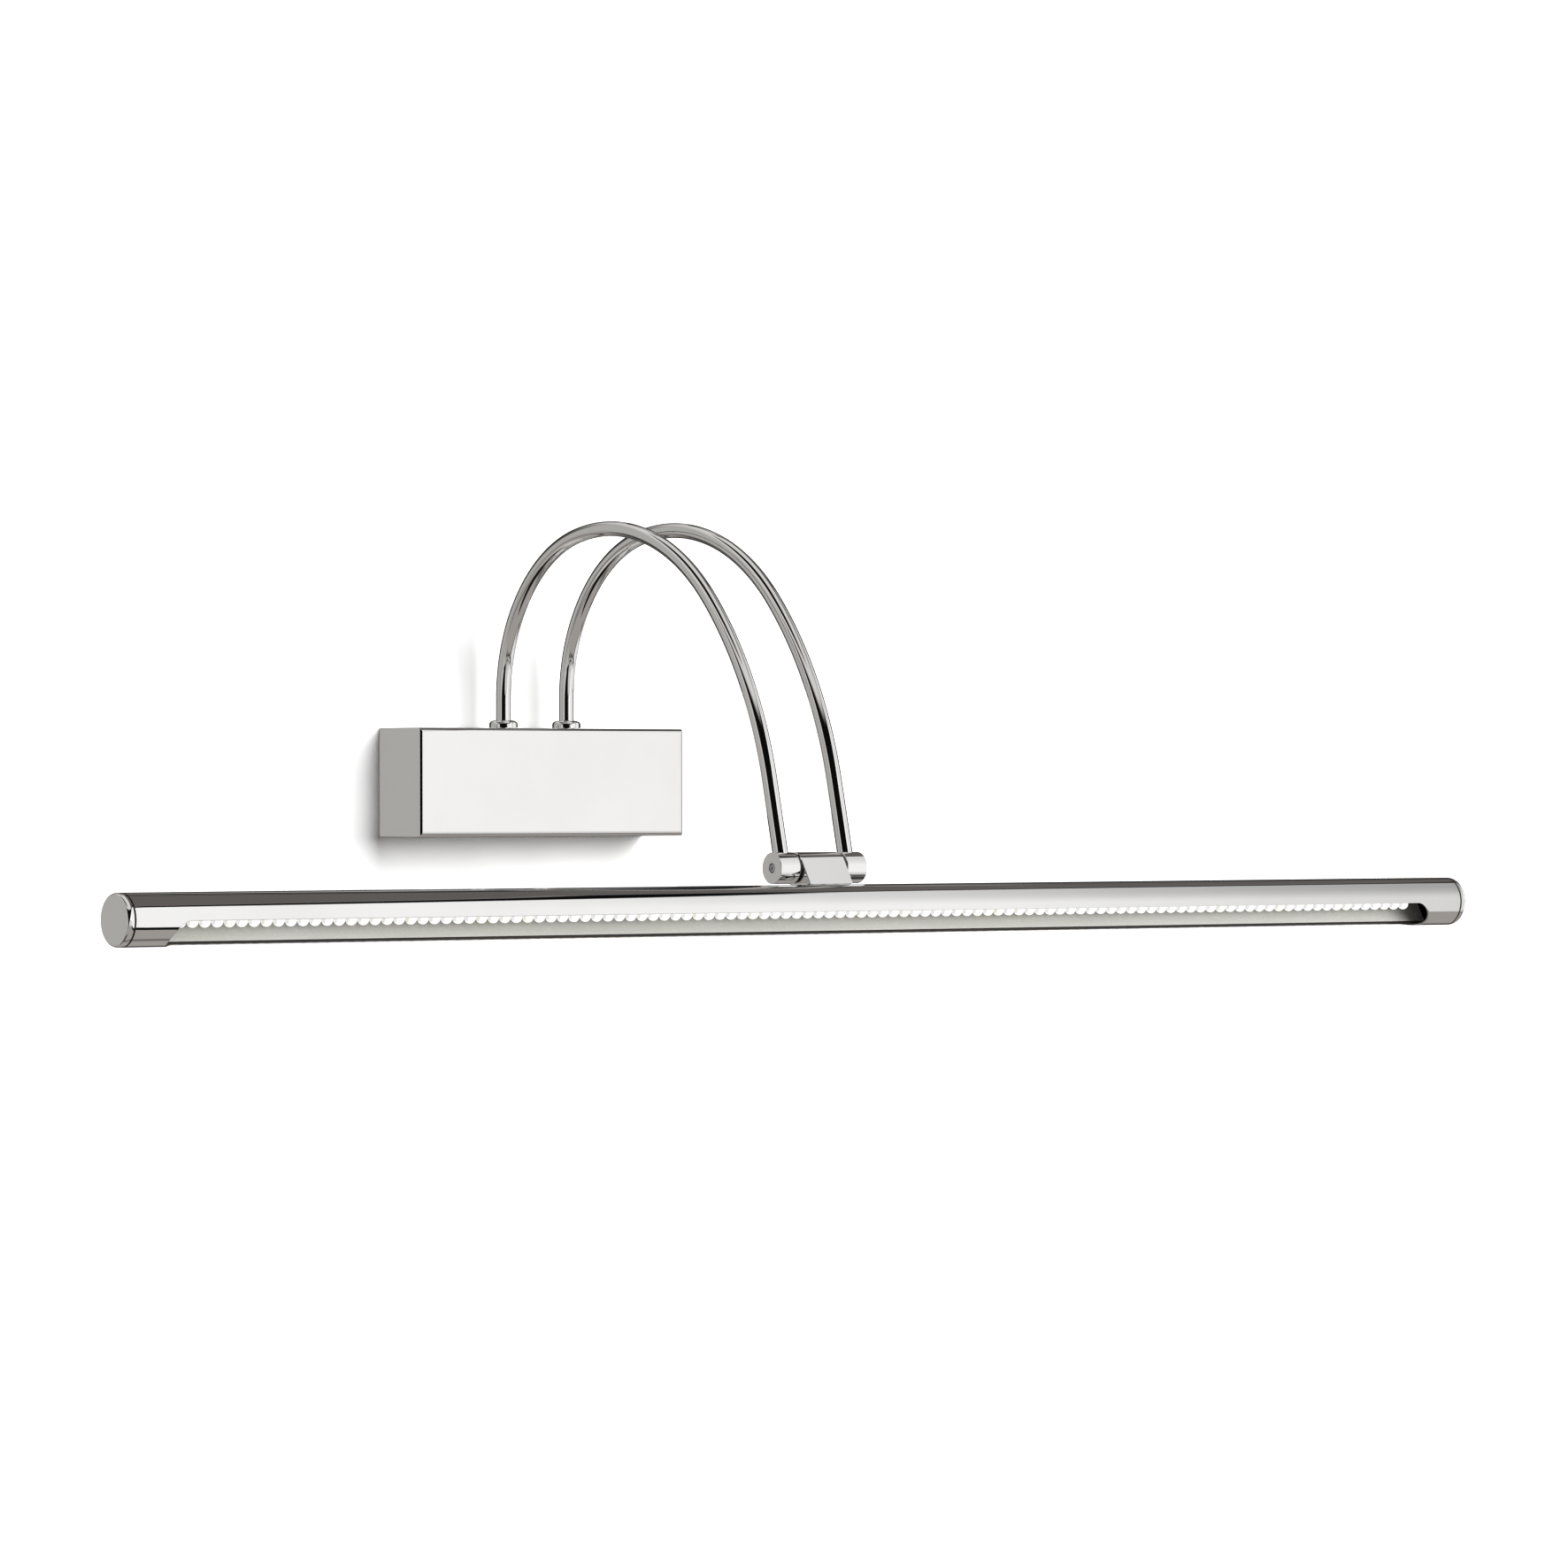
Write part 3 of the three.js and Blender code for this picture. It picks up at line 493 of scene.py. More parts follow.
def carve(thing, *cutters):
    """Cuts the cutters out of the object and deletes them."""
    for cutter in cutters:
        modifier = thing.modifiers.new("cut", "BOOLEAN")
        modifier.object = cutter
        modifier.operation = "DIFFERENCE"
        modifier.solver = "EXACT"
        apply_modifiers(thing)
        bpy.data.objects.remove(cutter)


def rod(name, radius, start, end, placed=Matrix.Identity(4), segments=ROUND_SMALL):
    """A plain bar along X, as a cutter."""
    bm = bmesh.new()
    revolve(bm, [(0, start), (radius, start), (radius, end), (0, end)], segments)
    return to_object(bm, name, placed)


def finish_piece(thing, slot, body, *nodes, sharp=35, with_seam_shade=False):
    """Gives a piece its shading, look and slot, puts it on its body and stands it for its nodes. Where asked,
    the faces whose index is 1 get a second material: near-black painted shade for seams, bores and cut faces."""
    mesh = thing.data
    for polygon in mesh.polygons:
        polygon.use_smooth = True
    mesh.set_sharp_from_angle(angle=math.radians(sharp))
    weighted = thing.modifiers.new("normals", "WEIGHTED_NORMAL")
    weighted.keep_sharp = True
    mesh.materials.append(LOOKS[slot])
    # The second material is the near-black painted shade of the seams, bores and cut faces.
    if with_seam_shade:
        mesh.materials.append(PAINTED_SEAM_SHADE)
    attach(thing, body)
    if nodes:
        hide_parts(*nodes)
    return thing


SIDES = ((-1, "left"), (1, "right"))
UPRIGHT = Matrix.Rotation(-math.pi / 2, 4, "Y")   # turns the X axis to +Z

# ---- the wall box ----


def box_ring(bm, half_width, half_height, corner, y):
    """A ring of vertices: a rectangle with rounded corners, at y."""
    ring = []
    for quarter, (to_right, to_top) in enumerate(((1, 1), (-1, 1), (-1, -1), (1, -1))):
        for i in range(CORNER_STEPS + 1):
            a = math.pi / 2 * (quarter + i / CORNER_STEPS)
            x = to_right * (half_width - corner) + corner * math.cos(a)
            z = to_top * (half_height - corner) + corner * math.sin(a)
            ring.append(bm.verts.new((x, y, z)))
    return ring


def box_skin(bm, inset):
    """The rings of the cover's skin from the wall to the front, set in from the outside by inset."""
    low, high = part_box("box_cover")
    half_width = (high.x - low.x) / 2 - inset
    half_height = (high.z - low.z) / 2 - inset
    front = low.y + inset
    radius = BOX_RADIUS - inset
    corner = max(BOX_CORNER - inset, FINE_CORNER)
    rings = [box_ring(bm, half_width, half_height, corner, high.y)]
    for i in range(BOX_STEPS + 1):
        a = math.pi / 2 * i / BOX_STEPS
        drawn_in = radius * (1 - math.cos(a))
        sharpened = max(corner - drawn_in, FINE_CORNER)
        y = front + radius * (1 - math.sin(a))
        rings.append(box_ring(bm, half_width - drawn_in, half_height - drawn_in, sharpened, y))
    return rings


def build_box_cover():
    """The pressed cover: a rounded front, a thin wall, and holes for the arms and the cover screws."""
    low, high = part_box("box_cover")
    bm = bmesh.new()
    outer = box_skin(bm, 0)
    inner = box_skin(bm, BOX_WALL)
    strips = [*zip(outer, outer[1:]), *zip(inner, inner[1:]), (outer[0], inner[0])]
    for first, second in strips:
        for i in range(len(first)):
            j = (i + 1) % len(first)
            bm.faces.new([first[i], first[j], second[j], second[i]])
    bm.faces.new(outer[-1])
    bm.faces.new(inner[-1])
    cover = to_object(bm, "cover_shell")
    cutters = []
    for side, name in SIDES:
        foot = middle(f"arm_collar_{name}")
        hole_radius = ARM_RADIUS + GAP
        at_top = Matrix.Translation((foot.x, foot.y, high.z)) @ UPRIGHT
        cutters.append(rod("cut", hole_radius, -3 * BOX_WALL, 3 * BOX_WALL, at_top))
        screw = middle(f"cover_screw_{name}")
        screw_radius = size(f"cover_screw_{name}").x / 2 + GAP
        at_bottom = Matrix.Translation((screw.x, screw.y, low.z)) @ UPRIGHT
        cutters.append(rod("cut", screw_radius, -3 * BOX_WALL, 3 * BOX_WALL, at_bottom))
    carve(cover, *cutters)
    finish_piece(cover, "chrome", "wall_unit", "box_cover")


def build_cover_screws():
    """Headless screws in the underside, each with a hexagon socket."""
    for _, name in SIDES:
        node = f"cover_screw_{name}"
        low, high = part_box(node)
        radius = size(node).x / 2
        place = Matrix.Translation((*middle(node).xy, low.z)) @ UPRIGHT
        bm = bmesh.new()
        length = high.z - low.z
        profile = [(0, 0), (radius, 0), (radius, length), (0, length)]
        revolve(bm, eased(profile, EDGE, 4, closed=False), ROUND_SMALL)
        screw = to_object(bm, f"cover_set_screw_{name}", place)
        carve(screw, rod("socket", radius * 0.55, -MM, length / 3, place, 6))
        finish_piece(screw, "zinc_steel", "wall_unit", node)


# ---- the arms ----


def arm_route(x, y):
    """The arm's centreline as (point, direction) pairs, from its foot to just short of the hinge."""
    route = [(Vector((x, y, ARM_FOOT)), Vector((0, 0, 1)))]
    point = Vector((x, y, ARM_RISE))
    heading = 0.0
    for radius, degrees in ARM_BENDS:
        steps = round(degrees)
        turn = math.radians(degrees) / steps
        centre = point + radius * Vector((0, -math.cos(heading), -math.sin(heading)))
        for step in range(steps + 1):
            a = heading + turn * step
            direction = Vector((0, -math.sin(a), math.cos(a)))
            if step or not route[1:]:
                route.append((centre + radius * Vector((0, math.cos(a), math.sin(a))), direction))
        heading += math.radians(degrees)
        point = route[-1][0]
    direction = route[-1][1]
    end = Vector((x, HINGE.y, HINGE.z)) - direction * ARM_TRIM
    return route + [(end, direction)]


def build_arm_tube(x, y, name):
    """A bent tube with a real bore, open at both ends."""
    bm = bmesh.new()
    across = Vector((1, 0, 0))
    walls = []
    for radius in (ARM_RADIUS, ARM_BORE):
        rings = []
        for point, direction in arm_route(x, y):
            up = direction.cross(across)
            ring = []
            for i in range(ROUND_SMALL):
                a = 2 * math.pi * i / ROUND_SMALL
                place = point + radius * (math.cos(a) * across + math.sin(a) * up)
                ring.append(bm.verts.new(place))
            rings.append(ring)
        walls.append(rings)
    outer, inner = walls
    strips = [*zip(outer, outer[1:]), *zip(inner[1:], inner)]
    strips += [(inner[0], outer[0]), (outer[-1], inner[-1])]
    for first, second in strips:
        for i in range(ROUND_SMALL):
            j = (i + 1) % ROUND_SMALL
            bm.faces.new([first[i], first[j], second[j], second[i]])
    tube = to_object(bm, f"bent_arm_{name}")
    finish_piece(tube, "chrome", "wall_unit", f"arm_tube_{name}")


def build_arm_collar(name):
    """The turned collar at an arm's foot: an upright rim and a domed top."""
    node = f"arm_collar_{name}"
    low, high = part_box(node)
    radius = size(node).x / 2
    height = high.z - low.z
    hole = ARM_RADIUS + GAP * 0.6
    rim = height * COLLAR_RIM
    crown = radius * COLLAR_CROWN
    profile = [(hole, 0), (radius, 0)]
    for i in range(COLLAR_STEPS + 1):
        a = math.pi / 2 * i / COLLAR_STEPS
        dome = (crown + (radius - crown) * math.cos(a), rim + (height - rim) * math.sin(a))
        profile.append(dome)
    profile.append((hole, height))
    bm = bmesh.new()
    revolve(bm, profile, ROUND, closed=True)
    place = Matrix.Translation((*middle(node).xy, low.z)) @ UPRIGHT
    finish_piece(to_object(bm, f"foot_collar_{name}", place), "chrome", "wall_unit", node)


# ---- the hinge ----


def build_sleeve(side, name):
    """A barrel end with its eased rim, screw recess and the socket that the arm enters."""
    inner = BLOCK_HALF + 2 * GAP + WASHER
    recess = SCREW_RADIUS + GAP
    recess_floor = BARREL_HALF - SCREW_RECESS - SCREW_HEAD - GAP
    bore = AXLE_RADIUS + GAP
    profile = [
        (bore, inner), (BARREL_RADIUS, inner), (BARREL_RADIUS, BARREL_HALF), (recess, BARREL_HALF),
        (recess, recess_floor), (bore, recess_floor),
    ]
    outline = eased([(r, side * s) for r, s in profile], 0.4 * MM, 6)
    bm = bmesh.new()
    revolve(bm, outline, ROUND, closed=True)
    place = Matrix.Translation(HINGE)
    sleeve = to_object(bm, f"barrel_end_{name}", place)
    _, direction = arm_route(0, 0)[-1]
    arm_x = middle(f"arm_tube_{name}").x
    turn = (-direction).to_track_quat("X", "Z").to_matrix().to_4x4()
    socket = Matrix.Translation((arm_x, HINGE.y, HINGE.z)) @ turn
    carve(sleeve, rod("cut", ARM_RADIUS + GAP * 0.7, ARM_TRIM - GAP, BARREL_RADIUS * 2, socket))
    finish_piece(sleeve, "chrome", "wall_unit", f"hinge_sleeve_{name}")


def build_hinge_screw(side, name):
    """The socket screw in a barrel end."""
    face = BARREL_HALF - SCREW_RECESS
    under = face - SCREW_HEAD
    profile = [(0, face), (SCREW_RADIUS, face), (SCREW_RADIUS, under), (SCREW_SHANK, under)]
    profile += [(SCREW_SHANK, SCREW_TIP), (0, SCREW_TIP)]
    bm = bmesh.new()
    outline = eased([(r, side * s) for r, s in profile], 0.15 * MM, 5, closed=False)
    revolve(bm, outline, ROUND_SMALL)
    place = Matrix.Translation(HINGE)
    screw = to_object(bm, f"barrel_screw_{name}", place)
    deep, proud = sorted((side * (face - SCREW_SOCKET), side * (face + MM)))
    carve(screw, rod("socket", SOCKET_RADIUS, deep, proud, place, 6))
    finish_piece(screw, "zinc_steel", "wall_unit", f"hinge_screw_{name}")


def build_hinge_block():
    """The moving block: the middle of the barrel, and a tapered neck with a saddle on the tube."""
    saddle = TUBE_RADIUS + GAP
    tangent_y = BARREL_RADIUS * math.cos(NECK_TAPER)
    tangent_z = -BARREL_RADIUS * math.sin(NECK_TAPER)
    slope = math.tan(NECK_TAPER)
    foot_y = tangent_y
    for _ in range(8):
        foot_z = -LAMP_DROP + math.sqrt(saddle**2 - foot_y**2)
        foot_y = tangent_y - (tangent_z - foot_z) * slope
    outline = []
    for i in range(BARREL_STEPS + 1):
        a = -NECK_TAPER + (math.pi + 2 * NECK_TAPER) * i / BARREL_STEPS
        outline.append((BARREL_RADIUS * math.cos(a), BARREL_RADIUS * math.sin(a)))
    foot_angle = math.atan2(foot_y, foot_z + LAMP_DROP)
    for i in range(SADDLE_STEPS + 1):
        a = -foot_angle + 2 * foot_angle * i / SADDLE_STEPS
        outline.append((saddle * math.sin(a), -LAMP_DROP + saddle * math.cos(a)))
    bm = bmesh.new()
    extrude_x(bm, outline, BLOCK_HALF)
    block = to_object(bm, "tilting_block", LAMP_FRAME)
    carve(block, rod("bore", AXLE_RADIUS + GAP, -BARREL_HALF, BARREL_HALF, LAMP_FRAME))
    finish_piece(block, "chrome", "lamp", "hinge_block", sharp=30)


# ---- the lamp ----


def slot_stations(offset):
    """Stations (x, half width of the opening) along the tube, for the slot grown by offset."""
    round_radius = SLOT_HALF_WIDTH + offset
    round_centre = SLOT_HALF_LENGTH - SLOT_HALF_WIDTH
    end_steps, middle_steps, plain_steps = 24, 60, 4
    tip = round_centre + round_radius
    right = [(round_centre * (2 * i / middle_steps - 1), round_radius) for i in range(middle_steps)]
    for i in range(end_steps + 1):
        a = math.pi / 2 * i / end_steps
        width = 0.0 if i == end_steps else round_radius * math.cos(a)
        right.append((round_centre + round_radius * math.sin(a), width))
    last = TUBE_HALF - TUBE_END_EDGE
    for i in range(1, plain_steps + 1):
        right.append((tip + (last - tip) * i / plain_steps, 0.0))
    ends = [(-x, width) for x, width in reversed(right) if x > round_centre]
    return ends + right


def tube_surface(bm, radius, offset):
    """The tube's surface at a radius, open along the slot. Gives one row of vertices a station."""
    rows = []
    for x, width in slot_stations(offset):
        first = math.asin(width / radius)
        row = []
        for i in range(ROUND + 1):
            a = first + (2 * math.pi - 2 * first) * i / ROUND
            row.append((x, -radius * math.sin(a), -radius * math.cos(a)))
        made = [bm.verts.new(point) for point in row[:-1]]
        made.append(made[0] if width == 0.0 else bm.verts.new(row[-1]))
        rows.append(made)
    for first, second in zip(rows, rows[1:]):
        for i in range(ROUND):
            add_face(bm, [first[i], first[i + 1], second[i + 1], second[i]])
    return rows


def edge_line(bm, radius, offset):
    """The two edges of the slot, grown by offset, at a radius from the tube's axis."""
    lines = []
    for x, width in slot_stations(offset):
        z = -math.sqrt(radius**2 - width**2)
        front = bm.verts.new((x, -width, z))
        lines.append((front, front if width == 0.0 else bm.verts.new((x, width, z))))
    return lines


def end_ring(bm, x, radius):
    """A closed ring of vertices round the tube's axis, its first vertex repeated at the end."""
    ring = []
    for i in range(ROUND):
        a = 2 * math.pi * i / ROUND
        ring.append(bm.verts.new((x, -radius * math.sin(a), -radius * math.cos(a))))
    return ring + ring[:1]


def build_lamp_tube():
    """The chromed tube: a real wall, and a round-ended slot with a rounded lip. The chrome covers the outside
    and the lips; the cut faces, the bore and the eased ends get near-black painted shade."""
    bm = bmesh.new()
    bore = TUBE_RADIUS - TUBE_WALL
    outer = tube_surface(bm, TUBE_RADIUS, SLOT_EDGE)
    inner = tube_surface(bm, bore, 0.0)
    lips = [[(row[0], row[-1]) for row in outer]]
    for i in range(1, LIP_STEPS + 1):
        a = math.pi / 2 * i / LIP_STEPS
        sink = LIP_SINK * (1 - math.cos(a))
        lips.append(edge_line(bm, TUBE_RADIUS - sink, SLOT_EDGE * (1 - math.sin(a))))
    lips.append([(row[0], row[-1]) for row in inner])
    stations = slot_stations(0.0)
    opening = [i for i in range(len(stations) - 1) if stations[i][1] or stations[i + 1][1]]
    for upper, lower in zip(lips, lips[1:]):
        for i in opening:
            for edge in (0, 1):
                corners = [upper[i][edge], upper[i + 1][edge], lower[i + 1][edge], lower[i][edge]]
                add_face(bm, corners)
    for row, side in ((0, -1), (-1, 1)):
        rim = [outer[row]]
        for i in range(1, END_STEPS + 1):
            a = math.pi / 2 * i / END_STEPS
            x = side * (TUBE_HALF - TUBE_END_EDGE * (1 - math.sin(a)))
            radius = TUBE_RADIUS - TUBE_END_EDGE * (1 - math.cos(a))
            rim.append(end_ring(bm, x, radius))
        rim += [end_ring(bm, side * TUBE_HALF, bore), inner[row]]
        for first, second in zip(rim, rim[1:]):
            for i in range(ROUND):
                add_face(bm, [first[i], first[i + 1], second[i + 1], second[i]])
    # Faces inside the lip and at the ends take the second material, the near-black painted shade.
    for face in bm.faces:
        inside = all(math.hypot(v.co.y, v.co.z) < TUBE_RADIUS - LIP_SINK * 0.98 for v in face.verts)
        at_end = all(abs(v.co.x) > TUBE_HALF - TUBE_END_EDGE * 1.1 for v in face.verts)
        face.material_index = int(inside or at_end)
    loose = [v for v in bm.verts if not v.link_faces]
    bmesh.ops.delete(bm, geom=loose, context="VERTS")
    tube = to_object(bm, "slotted_tube", TUBE_FRAME)
    finish_piece(tube, "chrome", "lamp", "lamp_tube", sharp=50, with_seam_shade=True)


def build_end_cap(side, name):
    """A turned cap: a disc with a rounded edge, and the plug that goes into the tube; the plug and the seat's face
    get near-black painted shade.
    """
    seat = TUBE_HALF + GAP
    face = abs(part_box(f"end_cap_{name}")[0 if side < 0 else 1].x)
    spigot = TUBE_HALF - CAP_SPIGOT
    plug_radius = TUBE_RADIUS - TUBE_WALL - GAP
    profile = [(0, face), (TUBE_RADIUS, face), (TUBE_RADIUS, seat), (plug_radius, seat)]
    profile += [(plug_radius, spigot), (0, spigot)]
    outline = [(0, face)]
    for i in range(CAP_STEPS + 1):
        a = math.pi / 2 * i / CAP_STEPS
        radius = TUBE_RADIUS - CAP_EDGE * (1 - math.sin(a))
        outline.append((radius, face - CAP_EASE * (1 - math.cos(a))))
    outline += eased(profile[1:], GAP, 4, closed=False)[1:]
    bm = bmesh.new()
    revolve(bm, [(r, side * s) for r, s in outline], ROUND)
    # The plug and the seat's faces in the seam get the near-black painted shade.
    for polygon in bm.faces:
        if all(abs(v.co.x) < seat + GAP * 1.1 for v in polygon.verts):
            polygon.material_index = 1
    cap = to_object(bm, f"turned_cap_{name}", TUBE_FRAME)
    finish_piece(cap, "chrome", "lamp", f"end_cap_{name}", with_seam_shade=True)


def build_cap_tongue(side, name):
    """The tongue that joins a cap to the tray."""
    low, high = sorted((side * TONGUE_START, side * (TUBE_HALF - CAP_SPIGOT)))
    bm = bmesh.new()
    box_solid(bm, (low, -TONGUE_HALF_WIDTH, TONGUE_LOW), (high, TONGUE_HALF_WIDTH, TONGUE_HIGH))
    bmesh.ops.bevel(bm, geom=bm.edges[:], offset=EDGE, segments=3, affect="EDGES")
    finish_piece(to_object(bm, f"cap_tongue_{name}", TUBE_FRAME), "chrome", "lamp")


def led_positions():
    return [(i - (LED_COUNT - 1) / 2) * LED_PITCH for i in range(LED_COUNT)]


def build_leds():
    """The row of round-nosed LEDs, each with a domed lens and a rim at its foot."""
    bm = bmesh.new()
    root = SPACER_TOP - SPACER_THICKNESS
    profile = []
    for i in range(DOME_STEPS + 1):
        a = math.pi / 2 * i / DOME_STEPS
        profile.append((LED_RADIUS * math.sin(a), LED_CENTRE - LED_RADIUS * math.cos(a)))
    profile += [(LED_RADIUS, root - MM), (LED_RIM, root - MM), (LED_RIM, root), (0, root)]
    points = [(0.0, profile[0][1])] + profile[1:]
    for x in led_positions():
        made = bmesh.new()
        revolve(made, points, LED_SIDES)
        bmesh.ops.transform(made, matrix=Matrix.Translation((x, 0, 0)) @ UPRIGHT, verts=made.verts)
        temporary = bpy.data.meshes.new("led")
        made.to_mesh(temporary)
        made.free()
        bm.from_mesh(temporary)
        bpy.data.meshes.remove(temporary)
    finish_piece(to_object(bm, "led_domes", TUBE_FRAME), "led_white", "lamp", "led_row", sharp=40)


def build_spacer():
    """The white strip that the LEDs stand in."""
    bm = bmesh.new()
    half = (LED_COUNT - 1) / 2 * LED_PITCH + SPACER_MARGIN
    low = (-half, -SPACER_HALF_WIDTH, SPACER_TOP - SPACER_THICKNESS)
    box_solid(bm, low, (half, SPACER_HALF_WIDTH, SPACER_TOP))
    bmesh.ops.bevel(bm, geom=bm.edges[:], offset=0.15 * MM, segments=2, affect="EDGES")
    finish_piece(to_object(bm, "led_spacer", TUBE_FRAME), "driver_plastic", "lamp")


def build_chips():
    """Surface-mount resistors beside the LEDs: dark bodies with tinned ends."""
    spots = led_positions()[1::CHIP_EVERY]
    for name, slot, ends in (("chip_bodies", "fibre", False), ("chip_ends", "zinc_steel", True)):
        bm = bmesh.new()
        for x in spots:
            stretches = [(-0.75, 0.75)] if not ends else [(-1, -0.7), (0.7, 1)]
            grow = 1.06 if ends else 1.0
            for start, end in stretches:
                low = (x + start * CHIP[0], CHIP_Y - CHIP[1] * grow, BOARD_FACE - CHIP[2] * grow)
                box_solid(bm, low, (x + end * CHIP[0], CHIP_Y + CHIP[1] * grow, BOARD_FACE))
        bmesh.ops.bevel(bm, geom=bm.edges[:], offset=0.06 * MM, segments=2, affect="EDGES")
        finish_piece(to_object(bm, name, TUBE_FRAME), slot, "lamp")


build_box_cover()
build_cover_screws()
for side, name in SIDES:
    foot = middle(f"arm_collar_{name}")
    build_arm_tube(foot.x, foot.y, name)
    build_arm_collar(name)
    build_sleeve(side, name)
    build_hinge_screw(side, name)
    build_end_cap(side, name)
    build_cap_tongue(side, name)
build_hinge_block()
build_lamp_tube()
build_leds()
build_spacer()
build_chips()

# ---- camera ----

CAMERA_PLACE = Vector((-1.7810, -2.5498, -0.0059))
CAMERA_YAW = math.radians(37.28)
CAMERA_PITCH = math.radians(0.094)
CAMERA_ROLL = math.radians(-0.058)
CAMERA_LENS = 151.64
CAMERA_SENSOR = 36.0


def build_camera():
    data = bpy.data.cameras.new("camera")
    data.lens = CAMERA_LENS
    data.sensor_width = CAMERA_SENSOR
    data.clip_end = 60
    camera = bpy.data.objects.new("camera", data)
    turn = Matrix.Rotation(-CAMERA_YAW, 4, "Z") @ Matrix.Rotation(math.pi / 2 + CAMERA_PITCH, 4, "X")
    camera.matrix_world = Matrix.Translation(CAMERA_PLACE) @ turn @ Matrix.Rotation(CAMERA_ROLL, 4, "Z")
    bpy.context.scene.collection.objects.link(camera)
    bpy.context.scene.camera = camera


# ---- studio ----

WALL_PLACE = Vector((0, 0.0006, 0))   # a little behind the box
WALL_HALF = 4.0
FLOOR_PLACE = Vector((0, -2.0, -1.4))
FLOOR_HALF = 5.0
FLOOR_GLOW = 0.45
STAGE_COLOUR = (1.66, 1.66, 1.66)     # so bright that only the box's own shadow shows on it
KEY_PLACE = (0.96, -2.65, 1.03)
KEY_SIDE = 2.2
KEY_WATTS = 118


def stage_material(name, colour, glow):
    """Matt paint that shows only from its front, so that the wall can be looked through from behind.
    Its own faint glow keeps it pale where the light hardly reaches."""
    material, n = new_material(name)
    place = n.place()
    tone = n.mix(n.noise(place, 6.0), (*colour, 1), (*[c * 0.985 for c in colour], 1))
    paint = n.add("ShaderNodeBsdfDiffuse", {"Color": tone, "Roughness": 0.5}).outputs[0]
    own = n.add("ShaderNodeEmission", {"Color": tone, "Strength": glow}).outputs[0]
    front = n.add("ShaderNodeAddShader", {0: paint, 1: own}).outputs[0]
    clear = n.add("ShaderNodeBsdfTransparent").outputs[0]
    behind = n.add("ShaderNodeNewGeometry").outputs["Backfacing"]
    mixed = n.add("ShaderNodeMixShader", {0: behind, 1: front, 2: clear}).outputs[0]
    n.add("ShaderNodeOutputMaterial", {"Surface": mixed})
    return material


def build_stage(name, centre, half, normal, colour, glow):
    """A flat sheet of the studio. Only the camera sees it, so the chrome reflects the studio light."""
    bm = bmesh.new()
    bmesh.ops.create_grid(bm, x_segments=4, y_segments=4, size=half)
    mesh = bpy.data.meshes.new(name)
    bm.to_mesh(mesh)
    bm.free()
    sheet = bpy.data.objects.new(name, mesh)
    sheet.matrix_world = Matrix.Translation(centre) @ normal.to_track_quat("Z", "Y").to_matrix().to_4x4()
    mesh.materials.append(stage_material(name, colour, glow))
    bpy.context.scene.collection.objects.link(sheet)
    for ray in ("diffuse", "glossy", "transmission", "volume_scatter", "shadow"):
        setattr(sheet, f"visible_{ray}", False)


def build_light(name, place, target, side, watts):
    data = bpy.data.lights.new(name, "AREA")
    data.shape = "SQUARE"
    data.size = side
    data.energy = watts
    light = bpy.data.objects.new(name, data)
    light.location = place
    light.rotation_mode = "QUATERNION"
    light.rotation_quaternion = (Vector(target) - Vector(place)).to_track_quat("-Z", "Y")
    light.visible_camera = False
    light.visible_glossy = False
    bpy.context.scene.collection.objects.link(light)


# The room that the chrome reflects. Its edges are given as parts of a unit direction: across is
# along X, inward is towards the wall and up is along Z. Each edge is soft between two such values.

BLACK = (0.004, 0.004, 0.004, 1)
WHITE = (1, 1, 1, 1)
GREY_BY_THE_GAP = (0.68, 0.67, 0.66, 1)
GREY_FAR = (0.42, 0.412, 0.402, 1)
FLOOR_BROWN = (0.345, 0.325, 0.31, 1)
FLOOR_STRIP = (0.16, 0.148, 0.138, 1)
WINDOW_PANE = (0.62, 0.61, 0.6, 1)
CEILING = (0.118, 0.110, 0.105, 1)
WALL_BEHIND = (0.045, 0.043, 0.041, 1)
PALE_PANEL = (0.70, 0.69, 0.68, 1)
PLAIN_LIGHT = (0.04, 0.04, 0.04, 1)   # what matt surfaces get from the room

SCREEN_SLOPE = (1, 0, -0.737)         # square to the screen's left edge
SCREEN_FOOT = (0.625, 0, 0.781)       # square to its lower edge
SCREEN_FAR = (0, 1, -0.4)             # square to its edge on the wall's side
SCREEN_LOW = (0, 1, 0.63)
WINDOW_SILL = (0, 0.92, -0.386)
GAP_EDGE = (0.417, -0.718, 0.556)
SKIRTING = (0, 0.584, 0.811)
BEHIND = (0.62, 0.78, 0)


